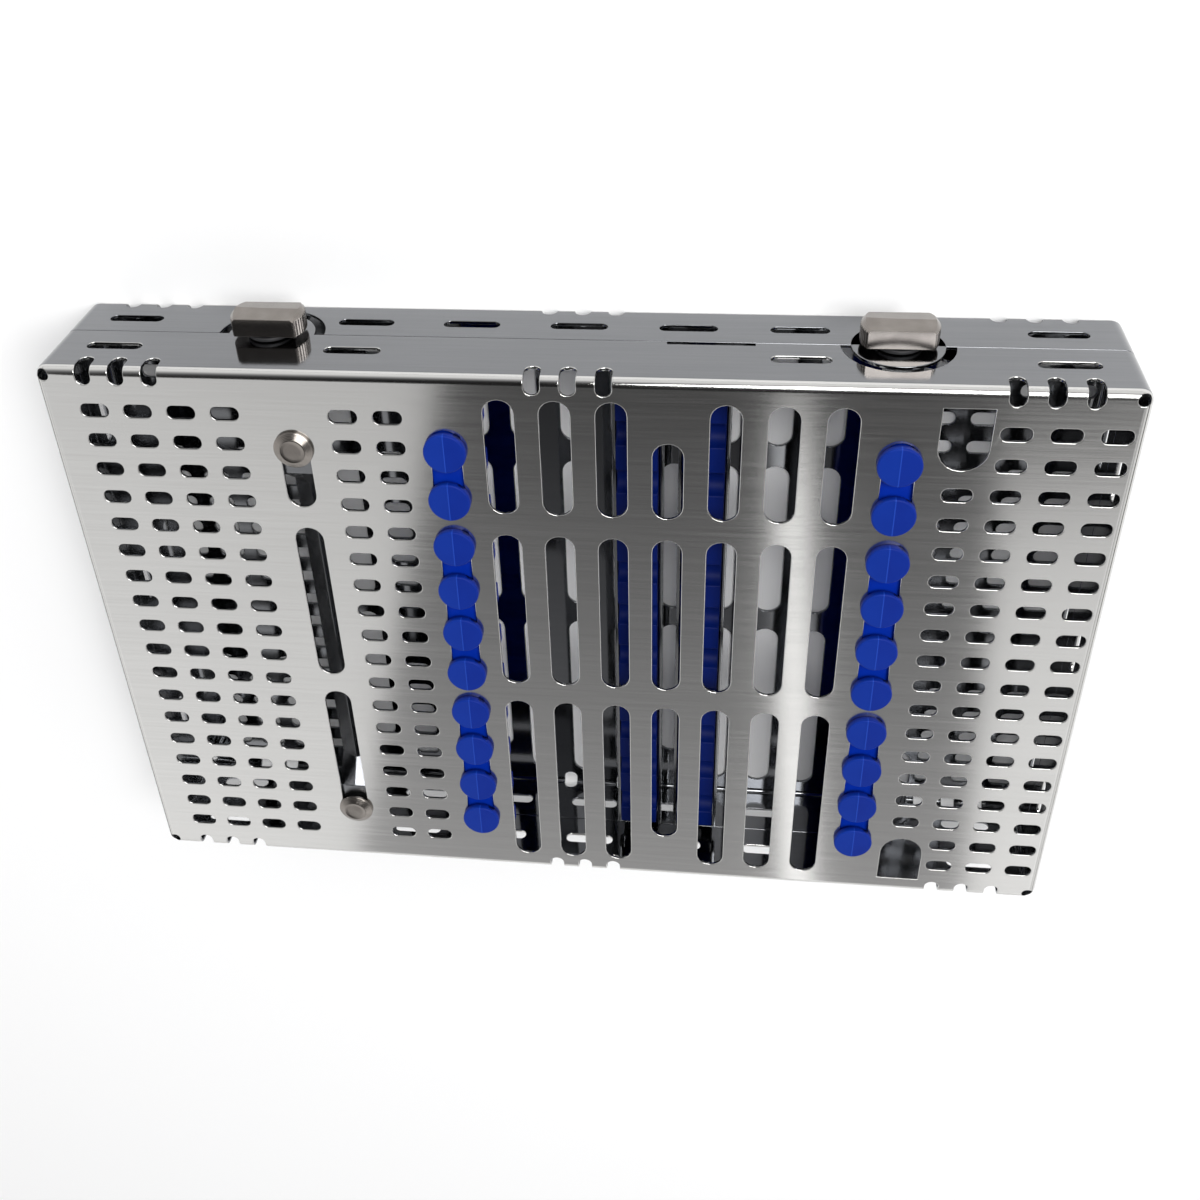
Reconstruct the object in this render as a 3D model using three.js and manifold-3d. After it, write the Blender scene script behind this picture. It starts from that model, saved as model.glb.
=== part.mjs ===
// A perforated stainless steel instrument cassette: two shallow pressed trays, the deeper one a
// lid that swings on two hinges at the back, closed at the front by two quarter-turn knobs.
// Silicone rails on the lid and silicone rests in the base hold the instruments.
// Millimetres, +Z up. The knobs are on the -Y side, and the hinges on the +Y side.
import * as THREE from "three";
import { mergeVertices } from "three/addons/utils/BufferGeometryUtils.js";
import Module from "manifold-3d";

const wasm = await Module();
wasm.setup();

// Case: two trays of one sheet, rim to rim
const caseLength = 284;
const caseDepth = 180;
const baseHeight = 18.7;
const lidHeight = 22;
const sheet = 1;
const bendRadius = 2.5;
const cornerRadius = 3.5;
const cornerReliefRadius = 1.6;
const seatGap = 0.3;
const overrun = 2;
const weldDistance = 1e-4;

// Small slots: columns along X in four groups, and rows along Y
const smallLength = 7.8;
const smallWidth = 4;
const smallPitchX = 12;
const smallPitchY = 9.1;
const smallRowMargin = 8;
const wideMargin = 14.6;
const narrowMargin = 6.8;
const innerColumns = 2;
const narrowColumns = 3;
const shortRowsLost = 4;

// Long slots: seven columns in three rows, parted by two bars of the face
const gridFromNarrowEnd = 116.4;
const gridPitch = 14.6;
const gridColumns = 7;
const gridWidth = 8;
const gridMargin = 6.6;
const gridShortMargin = 18.2;
const barWidth = 7;
const headsToFrontBar = 2;
const headsToBackBar = 6;
const backBarOffset = 0.7;

// Slots of the rails and of the accessory bar, in line with the bars of the long slots
const railSteps = 4;
const railSlotWidth = 8.2;
const railSlotMargin = 16;
const barSteps = 1;
const barSlotMargin = 18;

// Lanced openings in line with the short column, each with its tab bent into the case
const lanceWidth = 12.5;
const lanceLength = 17.7;
const lanceMargin = 5.8;
const lanceClearance = 0.5;

// Slots folded over the front and back bends, in groups of three
const foldedGroupMargin = 22.7;
const foldedPitch = 9.15;
const foldedWidth = 4.2;
const foldedReach = 5;
const lidFoldedDrop = 6.5;
const baseFoldedDrop = 4;

// Slots through the walls: a row between the latches, and one near each corner
const wallSlotLength = 15.4;
const wallSlotWidth = 3.6;
const wallSlotPitch = 29.2;
const wallSlotMargin = 18;
const lidWallSlotDrop = 13.2;
const baseWallSlotRise = 11;
const sideSlotMargin = 31.6;

// Finger gap in the front rim of the lid
const gapOffset = 9.8;
const gapLength = 22.8;
const gapHeight = 1.5;

// Latches: knob, washer, cam and screw on a tongue of one tray, and a keeper on the other
const latchMargin = 59;
const tongueRadius = 11.9;
const notchRadius = 14.6;
const knobRadius = 10;
const knobHeight = 5.5;
const knobFlat = 5.6;
const knobChamfer = 1.3;
const knobRidge = 0.4;
const shaftRadius = 3;
const washerRadius = 6;
const washerThickness = 1;
const camThickness = 1;
const camHubRadius = 5;
const camRibInner = 7.5;
const camRibOuter = 10.5;
const camRibHeight = 2;
const camArmAngle = THREE.MathUtils.degToRad(22);
const screwRadius = 1.2;
const screwLength = 5;
const screwHeadRadius = 2.8;
const screwHeadHeight = 1.4;
const keeperWidth = 8;
const keeperThickness = 1;
const keeperLipDrop = 5;
const keeperFootLength = 6;
const keeperClearance = 0.4;

// Hinges: rolled knuckles on two leaves, and a pin
const hingeMargin = 58;
const hingeWidth = 32;
const knuckleRadius = 2.6;
const pinRadius = 1.2;
const pinHeadRadius = 2;
const pinHeadLength = 1;
const leafThickness = 1;
const leafLength = 13;
const knuckleShare = 0.5;

// Silicone rails on the lid: a comb under the face, with heads pulled through the rail slots
const headMargin = 14;
const headPitch = 15.1;
const headRadius = 5.75;
const headRise = 1.9;
const headCrownShare = 0.6;
const neckRadius = 2.6;
const railWidth = 18;
const railDepth = 9.6;
const grooveRadius = 4.6;
const railEnd = 2.4;

// Silicone rests in the base: a notched strip pressed into a steel channel on two legs
const restOffset = 9;
const channelWidth = 14;
const channelLip = 5;
const channelWebZ = 19;
const channelMargin = 7;
const legFoot = 5;
const stripHeight = 9.2;
const restGrooveRadius = 3.6;

// Accessory bar under the lid: a V section between two feet, held by two riveted discs
const accessoryRivetInset = 4.7;
const accessoryFoot = 17;
const accessoryDrop = 9;
const accessoryRamp = 7;
const accessoryWidth = 10;
const accessoryFold = 3;
const accessorySheet = 1.2;
const discRadius = 5.4;
const discThickness = 1.8;
const discRim = 0.6;
const discFlatRadius = 3.3;
const rivetRadius = 2.4;
const rivetTailRadius = 3.8;
const rivetTailHeight = 1.2;

// Facets: steps round each slot end, fewer in the base, which shows least
const lidSteps = { small: 1, long: 3, folded: 1, wall: 1 };
const baseSteps = { small: 1, long: 2, folded: 1, wall: 1 };
const bendSteps = 2;
const cornerSteps = 2;
const reliefSteps = 6;
const roundSteps = 18;
const boreSteps = 8;
const headSides = 8;
const grooveSteps = 4;

// Places that follow from the sizes above
const halfLength = caseLength / 2;
const halfDepth = caseDepth / 2;
const baseRim = baseHeight;
const lidRim = baseHeight + seatGap;
const lidTop = lidRim + lidHeight;
const lidUnder = lidTop - sheet;
const headTop = lidTop + seatGap + headRise;
const seamZ = (baseRim + lidRim) / 2;
const hingeY = halfDepth + seatGap + knuckleRadius;
const hingeZ = headTop / 2;
const knobBase = halfDepth + seatGap + washerThickness + seatGap;
const knobEnd = knobBase + knobHeight + knobRidge;
const caseShift = (knobEnd - hingeY - knuckleRadius) / 2;
const gridX = gridFromNarrowEnd - halfLength;
const railX = [gridX + railSteps * gridPitch, gridX - railSteps * gridPitch];
const innerX = railX[0] + gridPitch;
const accessoryX = innerX + smallPitchX + barSteps * gridPitch;
const accessoryRivetY = halfDepth - barSlotMargin - accessoryRivetInset;
const wideColumns = Math.floor((halfLength - wideMargin - accessoryX) / smallPitchX);
const smallRows = Math.floor((caseDepth - 2 * smallRowMargin) / smallPitchY);
const shortX = narrowMargin + narrowColumns * smallPitchX - halfLength;
const headCount = Math.floor((caseDepth - 2 * headMargin) / headPitch);
const headsFrom = (-headCount * headPitch) / 2;
const frontBarY = headsFrom + headsToFrontBar * headPitch;
const backBarY = headsFrom + headsToBackBar * headPitch - backBarOffset;
const foldedGroupX = halfLength - foldedGroupMargin;
const latchX = halfLength - latchMargin;
const hingeX = halfLength - hingeMargin;
const gapX = gridX - gapOffset;
const farSlotX = halfLength - wallSlotMargin;
const wallSlotSteps = Math.floor((latchX - notchRadius - wallSlotLength / 2) / wallSlotPitch);
const sideSlotY = halfDepth - sideSlotMargin;

// Solids

function ordered(a, b) {
  return a < b ? [a, b] : [b, a];
}

// A closed solid from a geometry, its shared vertices merged
function solid(geometry) {
  const bare = new THREE.BufferGeometry();
  bare.setAttribute("position", geometry.getAttribute("position"));
  bare.setIndex(geometry.getIndex());
  const merged = mergeVertices(bare, weldDistance);
  return new wasm.Manifold(
    new wasm.Mesh({
      numProp: 3,
      vertProperties: merged.attributes.position.array,
      triVerts: new Uint32Array(merged.index.array),
    }),
  );
}

function joined(...bodies) {
  return bodies.reduce((whole, body) => whole.add(body));
}

function geometryOf(body) {
  const mesh = body.getMesh();
  const geometry = new THREE.BufferGeometry();
  geometry.setAttribute("position", new THREE.BufferAttribute(mesh.vertProperties, 3));
  geometry.setIndex(new THREE.BufferAttribute(mesh.triVerts, 1));
  const flat = geometry.toNonIndexed();
  flat.computeVertexNormals();
  return flat;
}

// An outline drawn in X and Y, raised from one height to another
function prismZ(outline, from, to) {
  const shape = new THREE.Shape(outline);
  const geometry = new THREE.ExtrudeGeometry(shape, { depth: to - from, bevelEnabled: false });
  return geometry.translate(0, 0, from);
}

// An outline drawn in X and Z, swept along Y
function prismY(outline, from, to) {
  return prismZ(outline, -to, -from).rotateX(Math.PI / 2);
}

// An outline drawn in Y and Z, swept along X
function prismX(outline, from, to) {
  const turn = new THREE.Matrix4().makeBasis(
    new THREE.Vector3(0, 1, 0),
    new THREE.Vector3(0, 0, 1),
    new THREE.Vector3(1, 0, 0),
  );
  return prismZ(outline, from, to).applyMatrix4(turn);
}

// One solid from many prisms
function cutter(prisms) {
  return wasm.Manifold.union(prisms.map(solid));
}

function arc(x, y, radius, start, end, steps) {
  return Array.from({ length: steps + 1 }, (_, i) => {
    const angle = start + ((end - start) * i) / steps;
    return new THREE.Vector2(x + radius * Math.cos(angle), y + radius * Math.sin(angle));
  });
}

function circle(x, y, radius, steps) {
  return arc(x, y, radius, 0, 2 * Math.PI, steps).slice(0, steps);
}

function rectangle(x0, y0, x1, y1) {
  return [
    new THREE.Vector2(x0, y0),
    new THREE.Vector2(x1, y0),
    new THREE.Vector2(x1, y1),
    new THREE.Vector2(x0, y1),
  ];
}

// A slot with round ends, its length along the first or the second drawn direction
function slotAcross(x, y, length, width, steps) {
  const run = (length - width) / 2;
  const quarter = Math.PI / 2;
  return [
    ...arc(x + run, y, width / 2, -quarter, quarter, steps),
    ...arc(x - run, y, width / 2, quarter, 3 * quarter, steps),
  ];
}

function slotAlong(x, from, to, width, steps) {
  return [
    ...arc(x, to - width / 2, width / 2, 0, Math.PI, steps),
    ...arc(x, from + width / 2, width / 2, Math.PI, 2 * Math.PI, steps),
  ];
}

// A ring of points round a rectangle with round corners, drawn in by an inset
function ring(halfX, halfY, corner, inset, z) {
  const turn = Math.PI / 2;
  const signs = [[1, 1], [-1, 1], [-1, -1], [1, -1]];
  return signs.flatMap(([sx, sy], i) =>
    arc(
      sx * (halfX - corner),
      sy * (halfY - corner),
      corner - inset,
      i * turn,
      (i + 1) * turn,
      cornerSteps,
    ).map((p) => [p.x, p.y, z]),
  );
}

// A block with round corners and a bend all round its closed face, lofted from ring to ring
function block(halfX, halfY, corner, bend, rimZ, faceZ) {
  const up = Math.sign(faceZ - rimZ);
  const rings = [ring(halfX, halfY, corner, 0, rimZ)];
  for (let i = 0; i <= bendSteps; i += 1) {
    const angle = (Math.PI / 2) * (i / bendSteps);
    const inset = bend * (1 - Math.cos(angle));
    const z = faceZ - up * bend * (1 - Math.sin(angle));
    rings.push(ring(halfX, halfY, corner, inset, z));
  }
  const count = rings[0].length;
  const faces = [];
  for (let level = 0; level + 1 < rings.length; level += 1) {
    for (let i = 0; i < count; i += 1) {
      const a = level * count + i;
      const b = level * count + ((i + 1) % count);
      faces.push([a, b, b + count], [a, b + count, a + count]);
    }
  }
  const last = (rings.length - 1) * count;
  for (let i = 1; i + 1 < count; i += 1) {
    faces.push([0, i + 1, i], [last, last + i, last + i + 1]);
  }
  const geometry = new THREE.BufferGeometry();
  const points = rings.flat(2);
  geometry.setAttribute("position", new THREE.Float32BufferAttribute(points, 3));
  geometry.setIndex(faces.flatMap(([a, b, c]) => (up > 0 ? [a, b, c] : [a, c, b])));
  return solid(geometry);
}

// A solid of revolution about a line along Z, from radius and height pairs, bottom to top
function turned(profile, sides) {
  const points = profile.map(([radius, height]) => new THREE.Vector2(radius, height));
  return new THREE.LatheGeometry(points, sides).rotateX(Math.PI / 2);
}

// Trays

// One tray: a sheet of even thickness, open at its rim
function tray(rimZ, faceZ) {
  const up = Math.sign(faceZ - rimZ);
  const outer = block(halfLength, halfDepth, cornerRadius, bendRadius, rimZ, faceZ);
  const inner = block(
    halfLength - sheet,
    halfDepth - sheet,
    cornerRadius - sheet,
    bendRadius - sheet,
    rimZ - up * overrun,
    faceZ - up * sheet,
  );
  return outer.subtract(inner);
}

// A column of small slots, less the rows lost at each end
function smallColumn(x, rowsLost, steps) {
  const outlines = [];
  for (let row = rowsLost; row < smallRows - rowsLost; row += 1) {
    const y = (row - (smallRows - 1) / 2) * smallPitchY;
    outlines.push(slotAcross(x, y, smallLength, smallWidth, steps));
  }
  return outlines;
}

function smallSlots(steps) {
  const outlines = [];
  for (let i = 0; i < wideColumns; i += 1) {
    outlines.push(...smallColumn(halfLength - wideMargin - i * smallPitchX, 0, steps));
  }
  for (let i = 0; i < innerColumns; i += 1) {
    outlines.push(...smallColumn(innerX + i * smallPitchX, 0, steps));
  }
  for (let i = 0; i < narrowColumns; i += 1) {
    outlines.push(...smallColumn(narrowMargin + i * smallPitchX - halfLength, 0, steps));
  }
  outlines.push(...smallColumn(shortX, shortRowsLost / 2, steps));
  return outlines;
}

// Three slots in line, parted by the two bars of the face
function slotRow(x, width, margin, steps) {
  return [
    slotAlong(x, margin - halfDepth, frontBarY - barWidth / 2, width, steps),
    slotAlong(x, frontBarY + barWidth / 2, backBarY - barWidth / 2, width, steps),
    slotAlong(x, backBarY + barWidth / 2, halfDepth - margin, width, steps),
  ];
}

function longSlots(steps) {
  const outlines = [];
  const middle = (gridColumns - 1) / 2;
  for (let i = 0; i < gridColumns; i += 1) {
    const margin = i === middle ? gridShortMargin : gridMargin;
    outlines.push(...slotRow(gridX + (i - middle) * gridPitch, gridWidth, margin, steps));
  }
  railX.forEach((x) => outlines.push(...slotRow(x, railSlotWidth, railSlotMargin, steps)));
  outlines.push(...slotRow(accessoryX, gridWidth, barSlotMargin, steps));
  return outlines;
}

// A lanced opening: flat towards its wall, round towards the middle of the face
function lanceOutline(side, steps) {
  const flat = side * (halfDepth - lanceMargin);
  const centre = flat - side * (lanceLength - lanceWidth / 2);
  const half = lanceWidth / 2;
  return [
    new THREE.Vector2(shortX + half, flat),
    ...arc(shortX, centre, half, 0, -side * Math.PI, steps + 1),
    new THREE.Vector2(shortX - half, flat),
  ];
}

// The tab of a lanced opening, bent square into the case
function lanceTab(side, faceZ, into, steps) {
  const half = lanceWidth / 2 - lanceClearance;
  const root = faceZ + (into * sheet) / 2;
  const centre = faceZ + into * (lanceLength - lanceWidth / 2);
  const outline = [
    new THREE.Vector2(shortX - half, root),
    ...arc(shortX, centre, half, Math.PI, Math.PI - into * Math.PI, steps + 1),
    new THREE.Vector2(shortX + half, root),
  ];
  const flat = side * (halfDepth - lanceMargin);
  return solid(prismY(outline, ...ordered(flat, flat + side * sheet)));
}

// Slots folded over the bend between the face and the front or back wall
function foldedSlots(faceZ, into, drop, steps) {
  const onFace = [];
  const onWall = [];
  const faceEnds = ordered(faceZ + into * bendRadius, faceZ - into * overrun);
  const wallEnds = ordered(faceZ + into * drop, faceZ - into * foldedWidth);
  for (const group of [-foldedGroupX, 0, foldedGroupX]) {
    for (const step of [-1, 0, 1]) {
      const x = group + step * foldedPitch;
      for (const side of [-1, 1]) {
        const along = ordered(side * (halfDepth - foldedReach), side * (halfDepth + foldedWidth));
        const wall = ordered(side * (halfDepth + overrun), side * (halfDepth - bendRadius));
        onFace.push(prismZ(slotAlong(x, ...along, foldedWidth, steps), ...faceEnds));
        onWall.push(prismY(slotAlong(x, ...wallEnds, foldedWidth, steps), ...wall));
      }
    }
  }
  return cutter([...onFace, ...onWall]);
}

// Slots through the front, back and side walls, at one height
function wallSlots(z, frontX, backX, steps) {
  const outline = (x) => slotAcross(x, z, wallSlotLength, wallSlotWidth, steps);
  const through = sheet + overrun;
  const front = frontX.map((x) => prismY(outline(x), -halfDepth - overrun, through - halfDepth));
  const back = backX.map((x) => prismY(outline(x), halfDepth - through, halfDepth + overrun));
  const sides = [-sideSlotY, 0, sideSlotY].flatMap((y) => [
    prismX(outline(y), -halfLength - overrun, through - halfLength),
    prismX(outline(y), halfLength - through, halfLength + overrun),
  ]);
  return cutter([...front, ...back, ...sides]);
}

// Small round openings where three bends meet
function cornerReliefs(faceZ, into) {
  const inset = bendRadius;
  const ends = ordered(faceZ + into * (bendRadius + sheet), faceZ - into * overrun);
  const spots = [[1, 1], [-1, 1], [-1, -1], [1, -1]];
  return cutter(
    spots.map(([sx, sy]) =>
      prismZ(
        circle(sx * (halfLength - inset), sy * (halfDepth - inset), cornerReliefRadius, reliefSteps),
        ...ends,
      ),
    ),
  );
}

// A round tongue on the front wall that reaches past the rim and carries a knob
function tongue(x, rimZ, past) {
  const root = rimZ - past * tongueRadius * Math.SQRT1_2;
  const outline = [
    new THREE.Vector2(x - tongueRadius, root),
    ...arc(x, seamZ, tongueRadius, Math.PI, Math.PI + past * -Math.PI, roundSteps / 2),
    new THREE.Vector2(x + tongueRadius, root),
  ];
  return solid(prismY(outline, -halfDepth, sheet - halfDepth));
}

function shaftHole(x) {
  const outline = circle(x, seamZ, shaftRadius + seatGap, boreSteps);
  return solid(prismY(outline, -halfDepth - overrun, sheet + overrun - halfDepth));
}

// The round notch that leaves room for the other tray's tongue
function notch(x) {
  return solid(
    prismY(circle(x, seamZ, notchRadius, roundSteps), -halfDepth - overrun, bendRadius - halfDepth),
  );
}

function punched(body, faceZ, into, drop, steps) {
  const ends = ordered(faceZ + into * (sheet + overrun), faceZ - into * overrun);
  const lances = [-1, 1].map((side) => lanceOutline(side, steps.long));
  const outlines = [...smallSlots(steps.small), ...longSlots(steps.long), ...lances];
  const holes = cutter(outlines.map((outline) => prismZ(outline, ...ends)));
  const folds = foldedSlots(faceZ, into, drop, steps.folded);
  return joined(
    body.subtract(holes).subtract(folds).subtract(cornerReliefs(faceZ, into)),
    lanceTab(-1, faceZ, into, steps.long),
    lanceTab(1, faceZ, into, steps.long),
  );
}

// Places along X of a wall's slots, from a number of steps off the middle out to the corners
function wallSlotX(fromStep) {
  const places = [farSlotX, -farSlotX];
  for (let step = fromStep; step <= wallSlotSteps; step += 1) {
    const x = step * wallSlotPitch;
    places.push(...(x > 0 ? [x, -x] : [x]));
  }
  return places;
}

function baseShell() {
  const slotX = wallSlotX(0);
  const body = punched(tray(baseRim, 0), 0, 1, baseFoldedDrop, baseSteps);
  const shell = body.subtract(notch(latchX));
  return joined(shell, tongue(-latchX, baseRim, 1))
    .subtract(shaftHole(-latchX))
    .subtract(wallSlots(baseWallSlotRise, slotX, slotX, baseSteps.wall));
}

function lidShell() {
  const gap = rectangle(gapX - gapLength / 2, lidRim - overrun, gapX + gapLength / 2, lidRim + gapHeight);
  const finger = solid(prismY(gap, -halfDepth - overrun, sheet + overrun - halfDepth));
  const slotZ = lidTop - lidWallSlotDrop;
  const body = punched(tray(lidRim, lidTop), lidTop, -1, lidFoldedDrop, lidSteps);
  const shell = body.subtract(notch(-latchX));
  return joined(shell, tongue(latchX, lidRim, -1))
    .subtract(shaftHole(latchX))
    .subtract(finger)
    .subtract(wallSlots(slotZ, wallSlotX(wallSlotSteps), wallSlotX(0), lidSteps.wall));
}

// Silicone

// The comb side of a rail or a rest: round grooves in line with the heads
function combOutline(backZ, tipZ, radius) {
  const into = Math.sign(tipZ - backZ);
  const half = (headCount * headPitch) / 2 + railEnd;
  const points = [new THREE.Vector2(half, backZ), new THREE.Vector2(-half, backZ)];
  points.push(new THREE.Vector2(-half, tipZ));
  for (let i = 0; i < headCount; i += 1) {
    const y = (i - (headCount - 1) / 2) * headPitch;
    points.push(...arc(y, tipZ, radius, Math.PI, Math.PI + into * Math.PI, grooveSteps));
  }
  points.push(new THREE.Vector2(half, tipZ));
  return points;
}

function gripRail(x) {
  const back = lidUnder - seatGap;
  const outline = combOutline(back, back - railDepth, grooveRadius);
  const comb = solid(prismX(outline, x - railWidth / 2, x + railWidth / 2));
  const under = lidTop + seatGap;
  const profile = [
    [0, back - sheet],
    [neckRadius, back - sheet],
    [neckRadius, under],
    [headRadius, under],
    [headRadius * headCrownShare, under + headRise],
    [0, under + headRise],
  ];
  const heads = [];
  for (let i = 0; i < headCount; i += 1) {
    const y = (i - (headCount - 1) / 2) * headPitch;
    heads.push(turned(profile, headSides).translate(x, y, 0));
  }
  return comb.add(cutter(heads));
}

function channel(x) {
  const half = channelWidth / 2;
  const top = channelWebZ + sheet + channelLip;
  const outline = [
    new THREE.Vector2(x - half, channelWebZ),
    new THREE.Vector2(x + half, channelWebZ),
    new THREE.Vector2(x + half, top),
    new THREE.Vector2(x + half - sheet, top),
    new THREE.Vector2(x + half - sheet, channelWebZ + sheet),
    new THREE.Vector2(x - half + sheet, channelWebZ + sheet),
    new THREE.Vector2(x - half + sheet, top),
    new THREE.Vector2(x - half, top),
  ];
  const end = halfDepth - channelMargin;
  const floor = sheet + seatGap;
  const legs = [-1, 1].map((side) => {
    const leg = [
      new THREE.Vector2(side * end, channelWebZ + sheet),
      new THREE.Vector2(side * (end - sheet), channelWebZ + sheet),
      new THREE.Vector2(side * (end - sheet), floor + sheet),
      new THREE.Vector2(side * (end - legFoot), floor + sheet),
      new THREE.Vector2(side * (end - legFoot), floor),
      new THREE.Vector2(side * end, floor),
    ];
    return solid(prismX(leg, x - half + sheet, x + half - sheet));
  });
  return joined(solid(prismY(outline, -end, end)), ...legs);
}

function restStrip(x) {
  const half = channelWidth / 2 - sheet - seatGap;
  const back = channelWebZ + sheet + seatGap;
  return solid(prismX(combOutline(back, back + stripHeight, restGrooveRadius), x - half, x + half));
}

// Accessory bar

// The bar from the side: two feet under the lid, two ramps and a lower run between them
function accessoryBar() {
  const top = lidUnder - seatGap;
  const low = top - accessoryDrop;
  const half = accessoryWidth / 2;
  const footEnd = accessoryRivetY + accessoryFoot / 2;
  const footIn = accessoryRivetY - accessoryFoot / 2;
  const runEnd = footIn - accessoryRamp;
  const sides = [-1, 1].map((side) => {
    const outline = [
      new THREE.Vector2(side * footEnd, top),
      new THREE.Vector2(side * footIn, top),
      new THREE.Vector2(side * runEnd, low),
      new THREE.Vector2(side * (runEnd - accessorySheet), low),
      new THREE.Vector2(side * (runEnd - accessorySheet), low - accessorySheet),
      new THREE.Vector2(side * runEnd, low - accessorySheet),
      new THREE.Vector2(side * footIn, top - accessorySheet),
      new THREE.Vector2(side * footEnd, top - accessorySheet),
    ];
    const hole = circle(accessoryX, side * accessoryRivetY, rivetRadius + seatGap, boreSteps);
    return solid(prismX(outline, accessoryX - half, accessoryX + half)).subtract(
      solid(prismZ(hole, top - accessorySheet - overrun, top + overrun)),
    );
  });
  const fold = [
    new THREE.Vector2(accessoryX - half, low - accessorySheet),
    new THREE.Vector2(accessoryX, low - accessorySheet + accessoryFold),
    new THREE.Vector2(accessoryX + half, low - accessorySheet),
    new THREE.Vector2(accessoryX + half, low),
    new THREE.Vector2(accessoryX, low + accessoryFold),
    new THREE.Vector2(accessoryX - half, low),
  ];
  return joined(...sides, solid(prismY(fold, -runEnd, runEnd)));
}

function accessoryRivet(side) {
  const under = lidTop + seatGap;
  const barUnder = lidUnder - seatGap - accessorySheet - seatGap;
  const profile = [
    [0, barUnder - rivetTailHeight],
    [rivetTailRadius, barUnder - rivetTailHeight],
    [rivetTailRadius, barUnder],
    [rivetRadius, barUnder],
    [rivetRadius, under],
    [discRadius, under],
    [discRadius, under + discRim],
    [discFlatRadius, under + discThickness],
    [0, under + discThickness],
  ];
  return solid(turned(profile, boreSteps).translate(accessoryX, side * accessoryRivetY, 0));
}

// Hinges

// A leaf on the back wall with its rolled knuckles; up is 1 on the lid and -1 on the base
function hingeLeaf(x, up, spans) {
  const inner = halfDepth + seatGap;
  const stop = hingeZ + up * (knuckleRadius + seatGap);
  const end = hingeZ + up * (leafLength + knuckleRadius);
  const half = hingeWidth / 2;
  const plateEnds = ordered(stop, end);
  const plate = rectangle(inner, plateEnds[0], inner + leafThickness, plateEnds[1]);
  const parts = [solid(prismX(plate, x - half, x + half))];
  for (const [from, to] of spans) {
    const neckEnds = ordered(hingeZ, stop + up * seatGap);
    const neck = rectangle(inner, neckEnds[0], inner + leafThickness, neckEnds[1]);
    parts.push(solid(prismX(neck, x + from, x + to)));
    parts.push(solid(prismX(circle(hingeY, hingeZ, knuckleRadius, boreSteps), x + from, x + to)));
  }
  const bore = circle(hingeY, hingeZ, pinRadius + seatGap, boreSteps);
  return joined(...parts).subtract(solid(prismX(bore, x - half - overrun, x + half + overrun)));
}

function hingePin(x) {
  const half = hingeWidth / 2 + seatGap;
  const profile = [
    [0, -half - pinHeadLength],
    [pinHeadRadius, -half - pinHeadLength],
    [pinHeadRadius, -half],
    [pinRadius, -half],
    [pinRadius, half],
    [pinHeadRadius, half],
    [pinHeadRadius, half + pinHeadLength],
    [0, half + pinHeadLength],
  ];
  return solid(turned(profile, boreSteps).rotateY(Math.PI / 2).translate(x, hingeY, hingeZ));
}

// Latches, drawn round a line along Y through the origin, wall face at zero and outward as -Y

// Knob and shaft turned in one piece, then milled to two flats with a low ridge between them
function latchKnob() {
  const base = knobBase - halfDepth;
  const end = base + knobHeight + knobRidge;
  const tip = -sheet - seatGap;
  const profile = [
    [0, tip],
    [screwRadius + seatGap, tip],
    [shaftRadius, tip],
    [shaftRadius, base],
    [knobRadius, base],
    [knobRadius, end - knobChamfer - knobRidge],
    [knobRadius - knobChamfer, end],
    [0, end],
  ];
  const flats = [
    new THREE.Vector2(overrun - tip, -knobFlat),
    new THREE.Vector2(overrun - tip, knobFlat),
    new THREE.Vector2(knobRidge - end, knobFlat),
    new THREE.Vector2(-end, 0),
    new THREE.Vector2(knobRidge - end, -knobFlat),
  ];
  const bore = circle(0, 0, screwRadius + seatGap, boreSteps);
  const turnedKnob = solid(turned(profile, roundSteps).rotateX(Math.PI / 2));
  return turnedKnob
    .intersect(solid(prismX(flats, -knobRadius - overrun, knobRadius + overrun)))
    .subtract(solid(prismY(bore, -tip - screwLength, overrun - tip)));
}

function latchWasher() {
  const outline = circle(0, 0, washerRadius, roundSteps);
  const bore = circle(0, 0, shaftRadius + seatGap, boreSteps);
  const outer = -seatGap - washerThickness;
  return solid(prismY(outline, outer, -seatGap)).subtract(
    solid(prismY(bore, outer - overrun, overrun)),
  );
}

// A flat hub and arm with a curved rib, which turns behind the keeper's lip
function latchCam(side) {
  const front = sheet + seatGap + seatGap;
  const back = front + camThickness;
  const middle = side > 0 ? 0 : Math.PI;
  const arm = [
    new THREE.Vector2(0, 0),
    ...arc(0, 0, camRibOuter, middle - camArmAngle, middle + camArmAngle, grooveSteps),
  ];
  const rib = [
    ...arc(0, 0, camRibOuter, middle - camArmAngle, middle + camArmAngle, grooveSteps),
    ...arc(0, 0, camRibInner, middle + camArmAngle, middle - camArmAngle, grooveSteps),
  ];
  const bore = circle(0, 0, screwRadius + seatGap, boreSteps);
  return joined(
    solid(prismY(circle(0, 0, camHubRadius, roundSteps), front, back)),
    solid(prismY(arm, front, back)),
    solid(prismY(rib, front, back + camRibHeight)),
  ).subtract(solid(prismY(bore, front - overrun, back + overrun)));
}

function latchScrew() {
  const seat = sheet + seatGap + seatGap + camThickness + seatGap;
  const profile = [
    [0, -seat - screwHeadHeight],
    [screwHeadRadius, -seat - screwHeadHeight],
    [screwHeadRadius, -seat],
    [screwRadius, -seat],
    [screwRadius, screwLength - seat],
    [0, screwLength - seat],
  ];
  return solid(turned(profile, boreSteps).rotateX(Math.PI / 2));
}

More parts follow.
